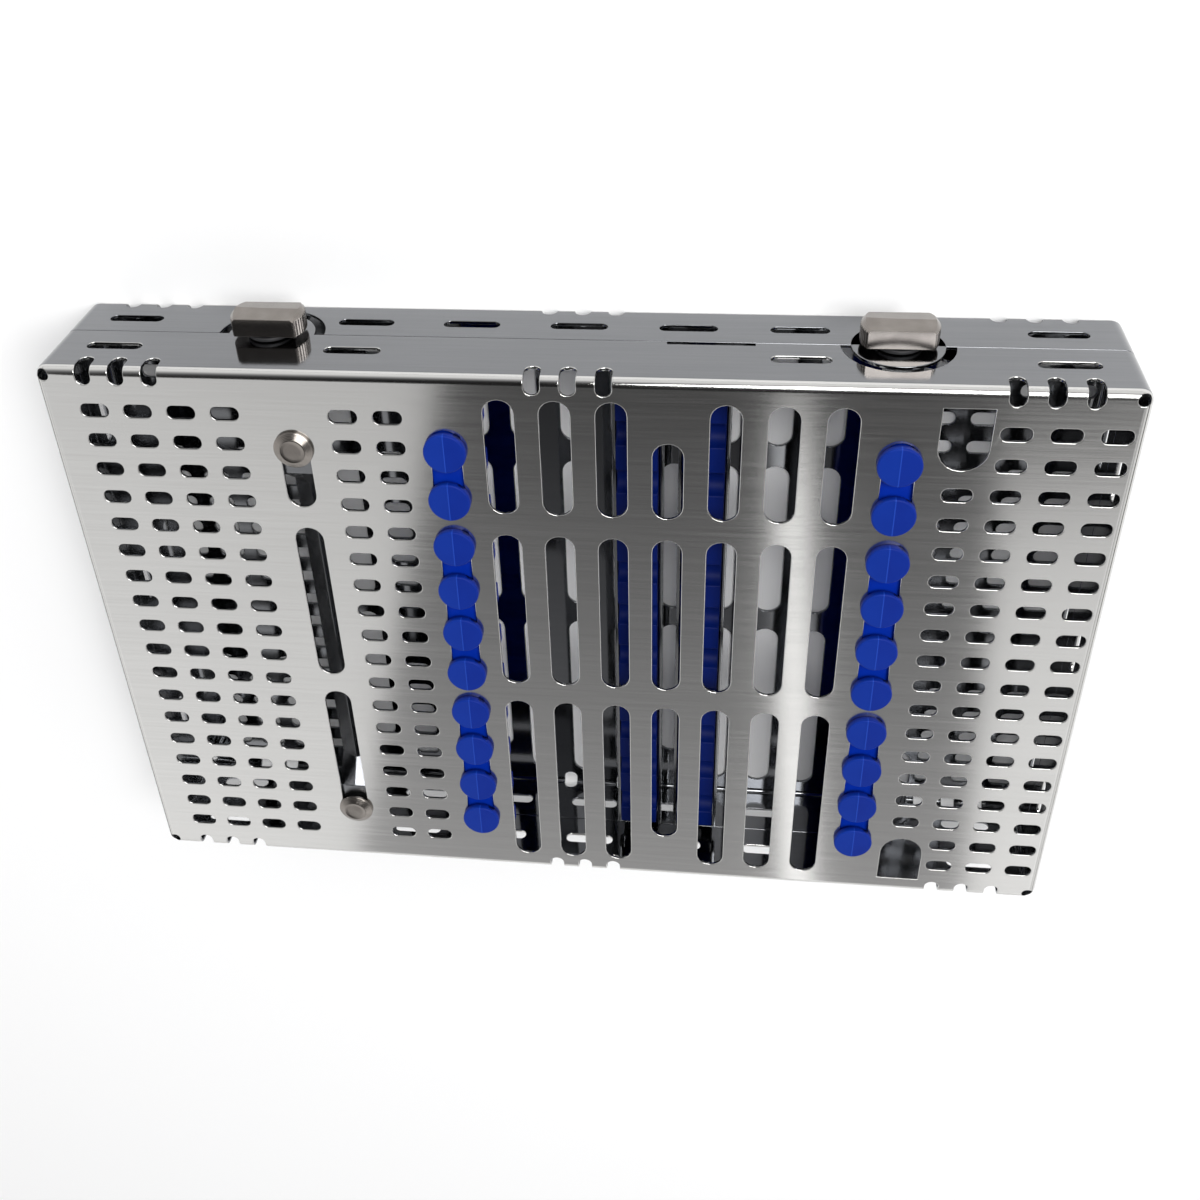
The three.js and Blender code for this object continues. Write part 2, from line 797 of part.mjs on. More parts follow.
// A bent strip on the other tray's face, with a lip towards the wall; into is 1 in the base
function latchKeeper(x, faceZ, into) {
  const lipFront = 2 * seatGap + sheet + camThickness + keeperClearance - halfDepth;
  const plate = lipFront + camRibHeight;
  const plateBack = plate + keeperThickness;
  const foot = faceZ + into * (sheet + seatGap);
  const footTop = foot + into * keeperThickness;
  const lip = seamZ - into * keeperLipDrop;
  const lipUnder = lip - into * keeperThickness;
  const outline = [
    new THREE.Vector2(lipFront, lip),
    new THREE.Vector2(plateBack, lip),
    new THREE.Vector2(plateBack, footTop),
    new THREE.Vector2(plate + keeperFootLength, footTop),
    new THREE.Vector2(plate + keeperFootLength, foot),
    new THREE.Vector2(plate, foot),
    new THREE.Vector2(plate, lipUnder),
    new THREE.Vector2(lipFront, lipUnder),
  ];
  return solid(prismX(outline, x - keeperWidth / 2, x + keeperWidth / 2));
}

// Materials
const steel = { color: 0xb9bcc0, metalness: 1, roughness: 0.32 };
const polished = { color: 0xc9cbce, metalness: 1, roughness: 0.15 };
const turnedSteel = { color: 0x9b968f, metalness: 1, roughness: 0.4 };
const silicone = { color: 0x0a2bb4, metalness: 0, roughness: 0.5 };
const blackPolymer = { color: 0x17181a, metalness: 0, roughness: 0.6 };

function piece(name, body, look) {
  const mesh = new THREE.Mesh(geometryOf(body), new THREE.MeshStandardMaterial(look));
  mesh.name = name;
  return mesh;
}

// The latch on one tray's tongue, as a group on the knob's line
function latch(tray, side) {
  const group = new THREE.Group();
  group.position.set(side * latchX, -halfDepth, seamZ);
  group.add(
    piece(`latch_knob_${tray}`, latchKnob(), turnedSteel),
    piece(`latch_washer_${tray}`, latchWasher(), blackPolymer),
    piece(`latch_cam_${tray}`, latchCam(side), steel),
    piece(`latch_screw_${tray}`, latchScrew(), turnedSteel),
  );
  return group;
}

const cassette = new THREE.Group();
cassette.position.set(0, caseShift, 0);
cassette.add(piece("base_shell", baseShell(), steel), piece("lid_shell", lidShell(), steel));
railX.forEach((x, i) => cassette.add(piece(`grip_rail_${i + 1}`, gripRail(x), silicone)));
[1, -1].forEach((side, i) => {
  const x = gridX + side * restOffset;
  cassette.add(piece(`rest_channel_${i + 1}`, channel(x), polished));
  cassette.add(piece(`rest_strip_${i + 1}`, restStrip(x), silicone));
});
cassette.add(piece("accessory_bar", accessoryBar(), polished));
[-1, 1].forEach((side, i) => {
  cassette.add(piece(`accessory_rivet_${i + 1}`, accessoryRivet(side), turnedSteel));
});
[1, -1].forEach((side, i) => {
  const half = hingeWidth / 2;
  const middle = half * knuckleShare;
  const outerSpans = [[-half, -middle - seatGap], [middle + seatGap, half]];
  const x = side * hingeX;
  cassette.add(piece(`hinge_leaf_base_${i + 1}`, hingeLeaf(x, -1, outerSpans), steel));
  cassette.add(piece(`hinge_leaf_lid_${i + 1}`, hingeLeaf(x, 1, [[-middle, middle]]), steel));
  cassette.add(piece(`hinge_pin_${i + 1}`, hingePin(x), turnedSteel));
});
cassette.add(latch("lid", 1), latch("base", -1));
cassette.add(piece("latch_keeper_base", latchKeeper(latchX, 0, 1), steel));
cassette.add(piece("latch_keeper_lid", latchKeeper(-latchX, lidTop, -1), steel));

const root = new THREE.Group();
root.add(cassette);

export default root;
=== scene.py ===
# %% [markdown]
# # A perforated steel instrument cassette
# Dental hand instruments are washed, sterilized and stored in a flat steel case. Two shallow
# trays are hinged at the back and closed at the front by two knobs. Hundreds of slots let water
# and steam through, and blue silicone rails hold the instruments still.
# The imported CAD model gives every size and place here. Each piece is made again with Blender's
# modelling tools, finer than its CAD node, and takes that node's place.

import math

import bmesh
import bpy
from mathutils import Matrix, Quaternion, Vector


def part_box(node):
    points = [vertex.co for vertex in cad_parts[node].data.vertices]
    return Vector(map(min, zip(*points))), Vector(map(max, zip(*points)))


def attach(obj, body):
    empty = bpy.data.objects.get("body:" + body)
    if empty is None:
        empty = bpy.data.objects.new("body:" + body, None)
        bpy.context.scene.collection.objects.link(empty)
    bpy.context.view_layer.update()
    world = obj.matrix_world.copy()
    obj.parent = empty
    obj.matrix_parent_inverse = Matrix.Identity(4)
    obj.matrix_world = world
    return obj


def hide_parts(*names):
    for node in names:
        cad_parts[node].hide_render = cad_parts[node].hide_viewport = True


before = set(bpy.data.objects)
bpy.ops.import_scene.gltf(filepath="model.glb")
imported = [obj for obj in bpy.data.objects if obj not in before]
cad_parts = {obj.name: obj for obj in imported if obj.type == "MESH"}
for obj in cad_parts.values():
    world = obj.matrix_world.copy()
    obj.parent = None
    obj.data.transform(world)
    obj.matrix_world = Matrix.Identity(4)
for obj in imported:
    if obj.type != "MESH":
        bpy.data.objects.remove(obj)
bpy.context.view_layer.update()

# %% [markdown]
# ## Millimetres from the middle of the case
# Blender works in metres, and the knobs push the case a little off the middle of the frame. A
# drawing of the real thing has millimetres from the case's own middle, so places are written
# that way and turned into metres in one function.

# %% Places in millimetres
MM = 0.001
lid_low, lid_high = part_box("lid_shell")
case_middle = (lid_low.y + lid_high.y) / 2


def at(x, y, z):
    """A place in millimetres from the middle of the case, as a point of the frame."""
    return Vector((x * MM, y * MM + case_middle, z * MM))


def spot(part):
    """The middle of a vertex, an edge or a face, in millimetres from the middle of the case."""
    points = [part.co] if hasattr(part, "co") else [corner.co for corner in part.verts]
    middle = sum(points, Vector()) / len(points)
    return Vector((middle.x, middle.y - case_middle, middle.z)) / MM


print("The case's middle lies", round(case_middle / MM, 2), "mm behind the frame's")

# %% [markdown]
# ## A workshop's few moves
# The same moves come back on every piece: add a primitive, pick some faces or edges by their
# place, run a tool on them, and apply a modifier. Operators work on whatever is selected, so
# each move starts by letting go of everything else.

# %% Selecting and editing
KINDS = {"VERT": "verts", "EDGE": "edges", "FACE": "faces"}


def let_go():
    if bpy.context.mode != "OBJECT":
        bpy.ops.object.mode_set(mode="OBJECT")
    bpy.ops.object.select_all(action="DESELECT")


def hold(piece):
    let_go()
    piece.select_set(True)
    bpy.context.view_layer.objects.active = piece


def pick(piece, kind, wanted):
    """Opens the piece in edit mode with only the wanted vertices, edges or faces selected."""
    hold(piece)
    bpy.ops.object.mode_set(mode="EDIT")
    bpy.ops.mesh.select_mode(type=kind)
    bpy.ops.mesh.select_all(action="DESELECT")
    mesh = bmesh.from_edit_mesh(piece.data)
    for part in getattr(mesh, KINDS[kind]):
        if wanted(part):
            part.select_set(True)
    bmesh.update_edit_mesh(piece.data)


def runs_along(edge, axis):
    """True for an edge that lies along X, Y or Z."""
    line = edge.verts[1].co - edge.verts[0].co
    return abs(line["XYZ".index(axis)]) > 0.999 * line.length


def round_edges(piece, radius, segments, wanted):
    pick(piece, "EDGE", wanted)
    bpy.ops.mesh.bevel(offset=radius * MM, segments=segments, affect="EDGES", clamp_overlap=False)
    let_go()


def slice_away(piece, through, outward):
    """Cuts all of the piece that lies outward of a plane, and closes the cut."""
    pick(piece, "FACE", lambda face: True)
    bpy.ops.mesh.bisect(plane_co=through, plane_no=outward, use_fill=True, clear_outer=True)
    let_go()


# %% Primitives at their size and place
UP, DOWN, LEFT, RIGHT = (0, 0, 1), (0, 0, -1), (-1, 0, 0), (1, 0, 0)
BACK, FRONT = (0, 1, 0), (0, -1, 0)
TURNS = {"X": (0, math.pi / 2, 0), "Y": (math.pi / 2, 0, 0), "Z": (0, 0, 0)}


def settle(piece, name):
    """The piece gets its name, and its place goes into its mesh."""
    hold(piece)
    piece.name = piece.data.name = name
    bpy.ops.object.transform_apply(location=True, rotation=True, scale=True)
    return piece


def block(name, low, high):
    let_go()
    low, high = at(*low), at(*high)
    bpy.ops.mesh.primitive_cube_add(size=1, location=(low + high) / 2)
    bpy.context.object.scale = high - low
    return settle(bpy.context.object, name)


def rod(name, middle, axis, radius, length, sides=48):
    let_go()
    bpy.ops.mesh.primitive_cylinder_add(
        vertices=sides,
        radius=radius * MM,
        depth=length * MM,
        location=at(*middle),
        rotation=TURNS[axis],
    )
    return settle(bpy.context.object, name)


# %% Modifiers, copies and cuts
def modify(piece, kind, **settings):
    hold(piece)
    modifier = piece.modifiers.new(kind, kind)
    for setting, value in settings.items():
        setattr(modifier, setting, value)
    bpy.ops.object.modifier_apply(modifier=modifier.name)
    return piece


def repeat(piece, count, x=0, y=0, z=0):
    """Copies in a row, each a step in millimetres from the last."""
    step = Vector((x, y, z)) * MM
    return modify(
        piece,
        "ARRAY",
        count=count,
        use_relative_offset=False,
        use_constant_offset=True,
        constant_offset_displace=step,
    )


def join(first, *others):
    let_go()
    for piece in (first, *others):
        piece.select_set(True)
    bpy.context.view_layer.objects.active = first
    bpy.ops.object.join()
    return first


def combine(piece, tool, operation):
    modify(piece, "BOOLEAN", object=tool, operation=operation, solver="EXACT")
    bpy.data.objects.remove(tool)
    return piece


def cut(piece, *tools):
    return combine(piece, join(*tools), "DIFFERENCE")


def shade(piece, angle=50):
    """Shades curves smooth and leaves flats flat."""
    hold(piece)
    bpy.ops.object.shade_smooth_by_angle(angle=math.radians(angle))
    return modify(piece, "WEIGHTED_NORMAL", keep_sharp=True)


def ease_edges(piece, width, segments=2, angle=50):
    """Breaks the sharp edges and shades the piece."""
    modify(
        piece,
        "BEVEL",
        width=width * MM,
        segments=segments,
        limit_method="ANGLE",
        angle_limit=math.radians(angle),
        use_clamp_overlap=False,
    )
    return shade(piece, angle)


def dress(piece, body, node, material):
    """The piece takes its CAD node's place, moves with that node's body and gets its finish."""
    piece.data.materials.clear()
    piece.data.materials.append(material)
    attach(piece, body)
    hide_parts(node)
    triangles = sum(len(face.vertices) - 2 for face in piece.data.polygons)
    print(f"{piece.name}: {triangles} triangles, on {body}")
    return piece


# %% [markdown]
# ## The camera
# The case lies on its base with the knobs towards the front. The picture is taken from above
# the knobs and upside down, with the knob side at the top, so the camera is rolled almost half a
# turn. The lens shift is small and keeps the case where the picture has it.

# %% Camera
camera_spot = at(-41.47, -252.97, 347.48)
camera_aim = at(5.26, -25.88, 41)
camera_roll = math.radians(-168.33)

let_go()
bpy.ops.object.camera_add(location=camera_spot)
camera = bpy.context.object
camera.name = "camera"
camera.rotation_mode = "QUATERNION"
look = (camera_aim - camera_spot).to_track_quat("-Z", "Y")
camera.rotation_quaternion = look @ Quaternion((0, 0, 1), camera_roll)
camera.data.sensor_width = 36
camera.data.lens = 41.42
camera.data.shift_x = 0.037
camera.data.shift_y = -0.013
camera.data.clip_start = 0.01
bpy.context.scene.camera = camera
print("Camera", round((camera_aim - camera_spot).length, 3), "m from the lid")

# %% [markdown]
# ## Light, floor and backdrop
# Bare steel has no colour of its own: what it shows is the room. The lid mirrors the room above
# and behind the hinges, so the sky there is dim and three level panels hang in it. Their long
# edges run almost along the case's depth, so their reflections lie straight across the lid: a
# broad one at the plain end, a narrow one right of the middle and a weak one at the narrow end.
# A big soft box in front lights the silicone and the floor. It stands to one side, so the bend of
# the lid mirrors it on that side alone. The horizon is white, like a photographer's paper sweep.

# %% Soft boxes, in metres
PANEL_HEIGHT, PANEL_LENGTH = 1.2, 1.5


def soft_box(name, location, width, length, radiance, tilt=0.0, turn=0.0):
    """A lamp that faces down, tilted about X and then turned about Z, in degrees."""
    let_go()
    bpy.ops.object.light_add(type="AREA", location=location)
    lamp = bpy.context.object
    lamp.name = name
    lamp.rotation_euler = (math.radians(tilt), 0, math.radians(turn))
    lamp.data.shape = "RECTANGLE"
    lamp.data.size = width
    lamp.data.size_y = length
    lamp.data.energy = radiance * math.pi * width * length
    return lamp


def panel(name, x, y, width, radiance, turn):
    return soft_box(name, (x, y, PANEL_HEIGHT), width, PANEL_LENGTH, radiance, turn=turn)


panel("plain_end_panel", x=0.89, y=1.0, width=0.9, radiance=0.62, turn=-13.5)
panel("strip_panel", x=-0.166, y=1.33, width=0.045, radiance=1.4, turn=4.2)
panel("narrow_end_panel", x=-0.72, y=1.38, width=0.6, radiance=0.72, turn=4.2)
front_place = (-0.503, -0.746, 1.33)
soft_box("front_box", front_place, width=1.2, length=0.6, radiance=10, tilt=34, turn=-34)

# %% World: white near the horizon, dim overhead
world = bpy.data.worlds.new("studio")
bpy.context.scene.world = world
world.use_nodes = True
sky = world.node_tree
direction = sky.nodes.new("ShaderNodeTexCoord")
height = sky.nodes.new("ShaderNodeSeparateXYZ")
ramp = sky.nodes.new("ShaderNodeValToRGB")
low_sky, high_sky = ramp.color_ramp.elements
low_sky.position, low_sky.color = 0.40, (1, 1, 1, 1)
high_sky.position, high_sky.color = 0.96, (0.01, 0.01, 0.01, 1)
MIDDLE_SKY = ((0.70, 0.36), (0.88, 0.065))
for position, grey in MIDDLE_SKY:
    ramp.color_ramp.elements.new(position).color = (grey, grey, 1.02 * grey, 1)
sky.links.new(direction.outputs["Generated"], height.inputs[0])
sky.links.new(height.outputs["Z"], ramp.inputs["Fac"])
sky.links.new(ramp.outputs["Color"], sky.nodes["Background"].inputs["Color"])
print("The sky has", len(ramp.color_ramp.elements), "greys from the horizon up")

# %% Floor
let_go()
bpy.ops.mesh.primitive_plane_add(size=8)
floor = settle(bpy.context.object, "floor")
floor_paint = bpy.data.materials.new("floor_paper")
floor_paint.use_nodes = True
paper = floor_paint.node_tree.nodes["Principled BSDF"]
paper.inputs["Base Color"].default_value = (0.97, 0.97, 0.97, 1)
paper.inputs["Roughness"].default_value = 0.9
paper.inputs["Specular IOR Level"].default_value = 0.1
floor.data.materials.append(floor_paint)
bpy.context.scene.view_settings.view_transform = "Standard"
print("Floor of pale paper,", round(floor.dimensions.x), "m wide")

# %% [markdown]
# ## Finishes
# Each finish is a recipe of nodes that read Object coordinates, so it stays put on its piece.
# One short function adds a node, sets it and wires it.

# %% A node in one line
def start_finish(name):
    material = bpy.data.materials.new(name)
    material.use_nodes = True
    return material, material.node_tree, material.node_tree.nodes["Principled BSDF"]


def node(tree, kind, feeds, **settings):
    """Adds a node, sets its options and gives its inputs a value or another node's output."""
    made = tree.nodes.new("ShaderNode" + kind)
    for setting, value in settings.items():
        setattr(made, setting, value)
    for place, value in feeds.items():
        if isinstance(value, bpy.types.NodeSocket):
            tree.links.new(value, made.inputs[place])
        else:
            made.inputs[place].default_value = value
    return made


def between(tree, amount, low, high):
    """Stretches an amount from 0 to 1 over a range."""
    feeds = {"Value": amount, "To Min": low, "To Max": high}
    return node(tree, "MapRange", feeds).outputs["Result"]


def reckon(tree, operation, *numbers):
    """One step of arithmetic on numbers or other nodes' outputs."""
    return node(tree, "Math", dict(enumerate(numbers)), operation=operation).outputs[0]


def blend_of(tree, share, first, second):
    """First where the share is 0, second where it is 1."""
    return node(tree, "Mix", {0: share, 2: first, 3: second}).outputs[0]


def colour_of(tree, share, first, second):
    """The same for two colours."""
    return node(tree, "Mix", {0: share, 6: first, 7: second}, data_type="RGBA").outputs[2]


def tint(tree, amount, dark, light):
    ramp = node(tree, "ValToRGB", {"Fac": amount})
    ramp.color_ramp.elements[0].color = (*dark, 1)
    ramp.color_ramp.elements[1].color = (*light, 1)
    return ramp.outputs["Color"]


def grain(tree, place, scale, detail=4.0):
    """Noise between 0 and 1, stretched by a scale along each axis, in cycles per metre."""
    stretched = node(tree, "Mapping", {"Vector": place, "Scale": scale}).outputs["Vector"]
    feeds = {"Vector": stretched, "Scale": 1.0, "Detail": detail}
    return node(tree, "TexNoise", feeds).outputs["Fac"]


def relief(tree, shader, height, strength, depth_mm):
    feeds = {"Height": height, "Strength": strength, "Distance": depth_mm * MM}
    tree.links.new(node(tree, "Bump", feeds).outputs["Normal"], shader.inputs["Normal"])


# %% [markdown]
# ### Brushed and polished sheet
# The trays are one sheet: satin outside on the flat face, with a fine grain along the case, and
# close to a mirror on the walls and inside. The normal tells the shader which surface it is on,
# so one finish serves the whole shell. Fine grain spreads a reflection across itself, which the
# shader's anisotropy does, along a tangent that is set here.

# %% Sheet finish: its greys with the walls' painted shade, and how far the normal has to lean one way
FACE_STEEL = ((0.55, 0.545, 0.53), (0.7, 0.695, 0.68))
# Painted shade and painted reflection: the walls and the inside get a darker, bluish grey than the
# face, though they are the same steel.
WALL_PAINTED_SHADE_STEEL = ((0.18, 0.185, 0.195), (0.26, 0.265, 0.275))
BENT_STEEL = ((0.34, 0.345, 0.35), (0.44, 0.445, 0.45))
ALONG, ACROSS = 35, 1500
ON_FACE, ON_BEND, LEANS = 0.9, 0.25, 0.7


def sheet_finish(name, outside, satin=0.13, mirror=0.07, wall=WALL_PAINTED_SHADE_STEEL):
    """Outside is 1 where the satin face looks up at rest, -1 where it looks down."""
    material, tree, steel = start_finish(name)
    places = tree.nodes.new("ShaderNodeTexCoord")
    place, facing = places.outputs["Object"], places.outputs["Normal"]
    axes = node(tree, "SeparateXYZ", {"Vector": facing}).outputs
    upward = reckon(tree, "MULTIPLY", axes["Z"], outside)
    on_face = reckon(tree, "GREATER_THAN", upward, ON_FACE)
    on_end = reckon(tree, "GREATER_THAN", reckon(tree, "ABSOLUTE", axes["X"]), LEANS)

    along_x = grain(tree, place, (ALONG, ACROSS, ACROSS))
    along_y = grain(tree, place, (ACROSS, ALONG, ACROSS))
    lines = blend_of(tree, on_end, along_x, along_y)
    cloud = grain(tree, place, (14, 30, 30), 3.0)

    satin_rough = between(tree, lines, satin - 0.04, satin + 0.06)
    mirror_rough = between(tree, cloud, mirror - 0.02, mirror + 0.05)
    tree.links.new(blend_of(tree, on_face, mirror_rough, satin_rough), steel.inputs["Roughness"])
    shade = blend_of(tree, 0.35, lines, cloud)
    pale = tint(tree, shade, *FACE_STEEL)
    # On the trays this is painted shade: the walls and the inside take the darker grey.
    deep = tint(tree, shade, *wall)
    outer = reckon(tree, "GREATER_THAN", upward, ON_BEND)
    tree.links.new(colour_of(tree, outer, deep, pale), steel.inputs["Base Color"])

    flat = reckon(tree, "GREATER_THAN", reckon(tree, "ABSOLUTE", axes["Z"]), LEANS)
    upright = reckon(tree, "SUBTRACT", 1.0, flat)
    across = node(tree, "CombineXYZ", {"Y": flat, "Z": upright}).outputs["Vector"]
    turned = node(
        tree, "VectorTransform", {"Vector": across}, convert_from="OBJECT", convert_to="WORLD"
    )
    tree.links.new(turned.outputs["Vector"], steel.inputs["Tangent"])
    steel.inputs["Anisotropic"].default_value = 0.85
    steel.inputs["Metallic"].default_value = 1.0
    strength = blend_of(tree, on_face, 0.02, 0.1)
    relief(tree, steel, lines, strength, 0.05)
    return material


lid_sheet = sheet_finish("lid_sheet", 1.0)
base_sheet = sheet_finish("base_sheet", -1.0)
bent_sheet = sheet_finish("bent_sheet", 0.0, mirror=0.14, wall=BENT_STEEL)
# Painted shade: the bar takes the walls' darker grey all over, which dims it where it hangs in the
# slot.
bar_sheet = sheet_finish("bar_sheet", 0.0, mirror=0.22)
print("Sheet finishes: satin outside, polished inside, and polished all over")

# %% [markdown]
# ### Turned steel
# Knobs, discs and pins come off a lathe. The tool leaves rings round the axis, finer than a
# tenth of a millimetre, and the metal is a little warmer and darker than the sheet. A wave of
# rings about the piece's own axis gives them, on the faces that the tool crossed, so each axis
# has a finish of its own.

# %% Turned finish
TURNED_STEEL = ((0.19, 0.17, 0.155), (0.33, 0.305, 0.28))
TURNED_ROUGHNESS, FACES_AXIS = 0.22, 0.6


def turned_finish(name, middle, axis):
    material, tree, steel = start_finish(name)
    places = tree.nodes.new("ShaderNodeTexCoord")
    place, facing = places.outputs["Object"], places.outputs["Normal"]
    centred = node(tree, "Mapping", {"Vector": place, "Location": -at(*middle)}).outputs["Vector"]
    along = reckon(tree, "ABSOLUTE", node(tree, "SeparateXYZ", {"Vector": facing}).outputs[axis])
    on_end = reckon(tree, "GREATER_THAN", along, FACES_AXIS)
    rings = node(
        tree,
        "TexWave",
        {"Vector": centred, "Scale": 900.0, "Distortion": 1.5, "Detail": 2.0, "Detail Scale": 3.0},
        wave_type="RINGS",
        rings_direction=axis,
    ).outputs["Fac"]
    cloud = grain(tree, place, (220, 220, 220), 3.0)
    tree.links.new(tint(tree, cloud, *TURNED_STEEL), steel.inputs["Base Color"])
    ringed = between(tree, rings, TURNED_ROUGHNESS - 0.05, TURNED_ROUGHNESS + 0.08)
    tree.links.new(blend_of(tree, on_end, TURNED_ROUGHNESS, ringed), steel.inputs["Roughness"])
    steel.inputs["Metallic"].default_value = 1.0
    relief(tree, steel, rings, blend_of(tree, on_end, 0.0, 0.3), 0.04)
    return material


# %% [markdown]
# ### Blue silicone
# Moulded silicone is soft to look at: an even deep blue, a broad dull highlight and a very fine
# skin. A little colour drifts over a few millimetres, and the bump is far below a millimetre.
# Two halves of a mould made the heads, and a fine bead parts each of them. The bead's line is a
# painted highlight, and one half of each head is painted lighter: painted light, for the light
# that falls on that slope of its roof. A rail is painted navy where its necks stand in the slot,
# as painted shade, and painted brighter below the lid, as painted light against the shade in
# the case. The rests are painted a deeper blue, as painted shade.

# %% Silicone finish: its blues with painted light and shade, and the heights where a rail's colour changes
HEAD_BLUES = ((0.0, 0.014, 0.2), (0.001, 0.024, 0.27))
# Painted shade: the rests are the same silicone, painted a deeper blue where they lie in the case.
REST_PAINTED_SHADE_BLUES = ((0.0, 0.007, 0.1), (0.0005, 0.012, 0.14))
# Painted light: one half of each head is lighter, and the bead's line is a painted highlight.
HALF_PAINTED_LIGHT, PARTING_PAINTED_HIGHLIGHT = (0.01, 0.08, 0.5, 1), (0.01, 0.05, 0.38, 1)
# Painted shade on the necks, and painted light on the comb below the lid.
NECK_PAINTED_SHADE, COMB_PAINTED_LIGHT = (0.001, 0.009, 0.15, 1), (0.0, 0.024, 0.36, 1)
COMB_END, NECK_START, NECK_END = 39.8, 41.2, 42.2
HALF_LINE = 0.16


def silicone_finish(name, deep, light, parting_x=None):
    material, tree, rubber = start_finish(name)
    place = tree.nodes.new("ShaderNodeTexCoord").outputs["Object"]
    cloud = grain(tree, place, (90, 90, 90), 3.0)
    skin = grain(tree, place, (2500, 2500, 2500), 2.0)
    colour = tint(tree, cloud, deep, light)
    if parting_x is not None:
        axes = node(tree, "SeparateXYZ", {"Vector": place}).outputs
        # Painted light on the heads: a lighter half, and a painted highlight along the parting
        # bead.
        aside = reckon(tree, "SUBTRACT", axes["X"], parting_x * MM)
        highlight_line = reckon(tree, "LESS_THAN", reckon(tree, "ABSOLUTE", aside), HALF_LINE * MM)
        half = reckon(tree, "GREATER_THAN", aside, 0.0)
        paler = colour_of(tree, 0.1, colour, HALF_PAINTED_LIGHT)
        colour = colour_of(tree, half, colour, paler)
        colour = colour_of(tree, highlight_line, colour, PARTING_PAINTED_HIGHLIGHT)
        # Painted shade: the rail is painted navy up to the heads, where it stands in the slot.
        span = {"Value": axes["Z"], "From Min": NECK_START * MM, "From Max": NECK_END * MM}
        out_of_neck_shade = node(tree, "MapRange", span).outputs["Result"]
        colour = colour_of(tree, out_of_neck_shade, NECK_PAINTED_SHADE, colour)
        # Painted light: below the lid the comb is painted a brighter blue, against the shade inside
        # the case.
        comb_light_share = reckon(tree, "LESS_THAN", axes["Z"], COMB_END * MM)
        colour = colour_of(tree, comb_light_share, colour, COMB_PAINTED_LIGHT)
    tree.links.new(colour, rubber.inputs["Base Color"])
    tree.links.new(between(tree, skin, 0.42, 0.6), rubber.inputs["Roughness"])
    rubber.inputs["Specular IOR Level"].default_value = 0.14
    relief(tree, rubber, skin, 0.15, 0.04)
    return material


# The rests' deeper blue is painted shade.
silicone = silicone_finish("rest_silicone", *REST_PAINTED_SHADE_BLUES)
print("Blue silicone for the rests; each rail gets its own, parted along its middle")

# %% Black polymer finish, for the washers under the knobs
POLYMER_BLACKS = ((0.01, 0.01, 0.011), (0.03, 0.03, 0.032))


def polymer_finish(name):
    material, tree, polymer = start_finish(name)
    place = tree.nodes.new("ShaderNodeTexCoord").outputs["Object"]
    speck = grain(tree, place, (1800, 1800, 1800), 3.0)
    tree.links.new(tint(tree, speck, *POLYMER_BLACKS), polymer.inputs["Base Color"])
    tree.links.new(between(tree, speck, 0.45, 0.65), polymer.inputs["Roughness"])
    relief(tree, polymer, speck, 0.2, 0.03)
    return material


polymer = polymer_finish("black_polymer")

# %% [markdown]
# ## The two trays
# A tray is punched flat, then pressed and folded from one millimetre of stainless sheet. Here a
# block loses the face at its rim, its upright edges and its outer edges are rounded, and Solidify
# gives the skin its thickness inwards. The slots are punched afterwards with Boolean cuts: one
# punch of each kind is modelled and repeated with Array, so that all punches of one direction
# make one cut. A small bevel then breaks every edge, and that is what catches the light.

# %% Sizes of the case in millimetres
HALF_X = round((lid_high.x - lid_low.x) / 2 / MM, 2)
HALF_Y = round((lid_high.y - lid_low.y) / 2 / MM, 2)
SHEET = 1.0
LID_TOP = round(lid_high.z / MM, 2)
LID_RIM = 19.0
BASE_RIM, SEAM = 18.9, 18.85
LATCH_X = 83.0
CORNER_BEND, FACE_BEND, BEND_STEPS = 3.5, 2.5, 6
print("Half length, half depth and height:", HALF_X, HALF_Y, LID_TOP)


def pressed_tray(name, rim, face):
    """An open tray between the heights of its rim and of its flat face."""
    low, high = sorted((rim, face))
    tray = block(name, (-HALF_X, -HALF_Y, low), (HALF_X, HALF_Y, high))
    pick(tray, "FACE", lambda side: abs(spot(side).z - rim) < 0.01)
    bpy.ops.mesh.delete(type="FACE")
    round_edges(tray, CORNER_BEND, BEND_STEPS, lambda edge: runs_along(edge, "Z"))
    on_face = lambda edge: edge.is_manifold and abs(spot(edge).z - face) < 0.01
    round_edges(tray, FACE_BEND, BEND_STEPS, on_face)
    return modify(tray, "SOLIDIFY", thickness=SHEET * MM, offset=-1, use_even_offset=True)


# %% A punch for a slot with round ends, which reaches a little past both sides of the sheet
REACH = 3


def slot_punch(low, high, through, roundness=0.98, rounded=lambda middle: True, segments=5):
    """A block whose edges along the punching direction are rounded."""
    punch = block("punch", low, high)
    across = [high[i] - low[i] for i in range(3) if "XYZ"[i] != through]
    radius = roundness * min(across) / 2
    wanted = lambda edge: runs_along(edge, through) and rounded(spot(edge))
    round_edges(punch, radius, segments, wanted)
    return punch


def face_slot(x, y_low, y_high, width, face):
    low = (x - width / 2, y_low, face - REACH)
    return slot_punch(low, (x + width / 2, y_high, face + REACH), "Z")


# %% The small slots: columns in four groups, eighteen rows
SMALL_LENGTH, SMALL_WIDTH = 7.8, 4.0
SMALL_STEP_X, SMALL_STEP_Y = 12.0, 9.1
WIDE_END_X, INNER_X, NARROW_END_X, SHORT_X = 91.4, 47.4, -135.2, -99.2
SMALL_GROUPS = ((WIDE_END_X, 4, 18), (INNER_X, 2, 18), (NARROW_END_X, 3, 18), (SHORT_X, 1, 14))


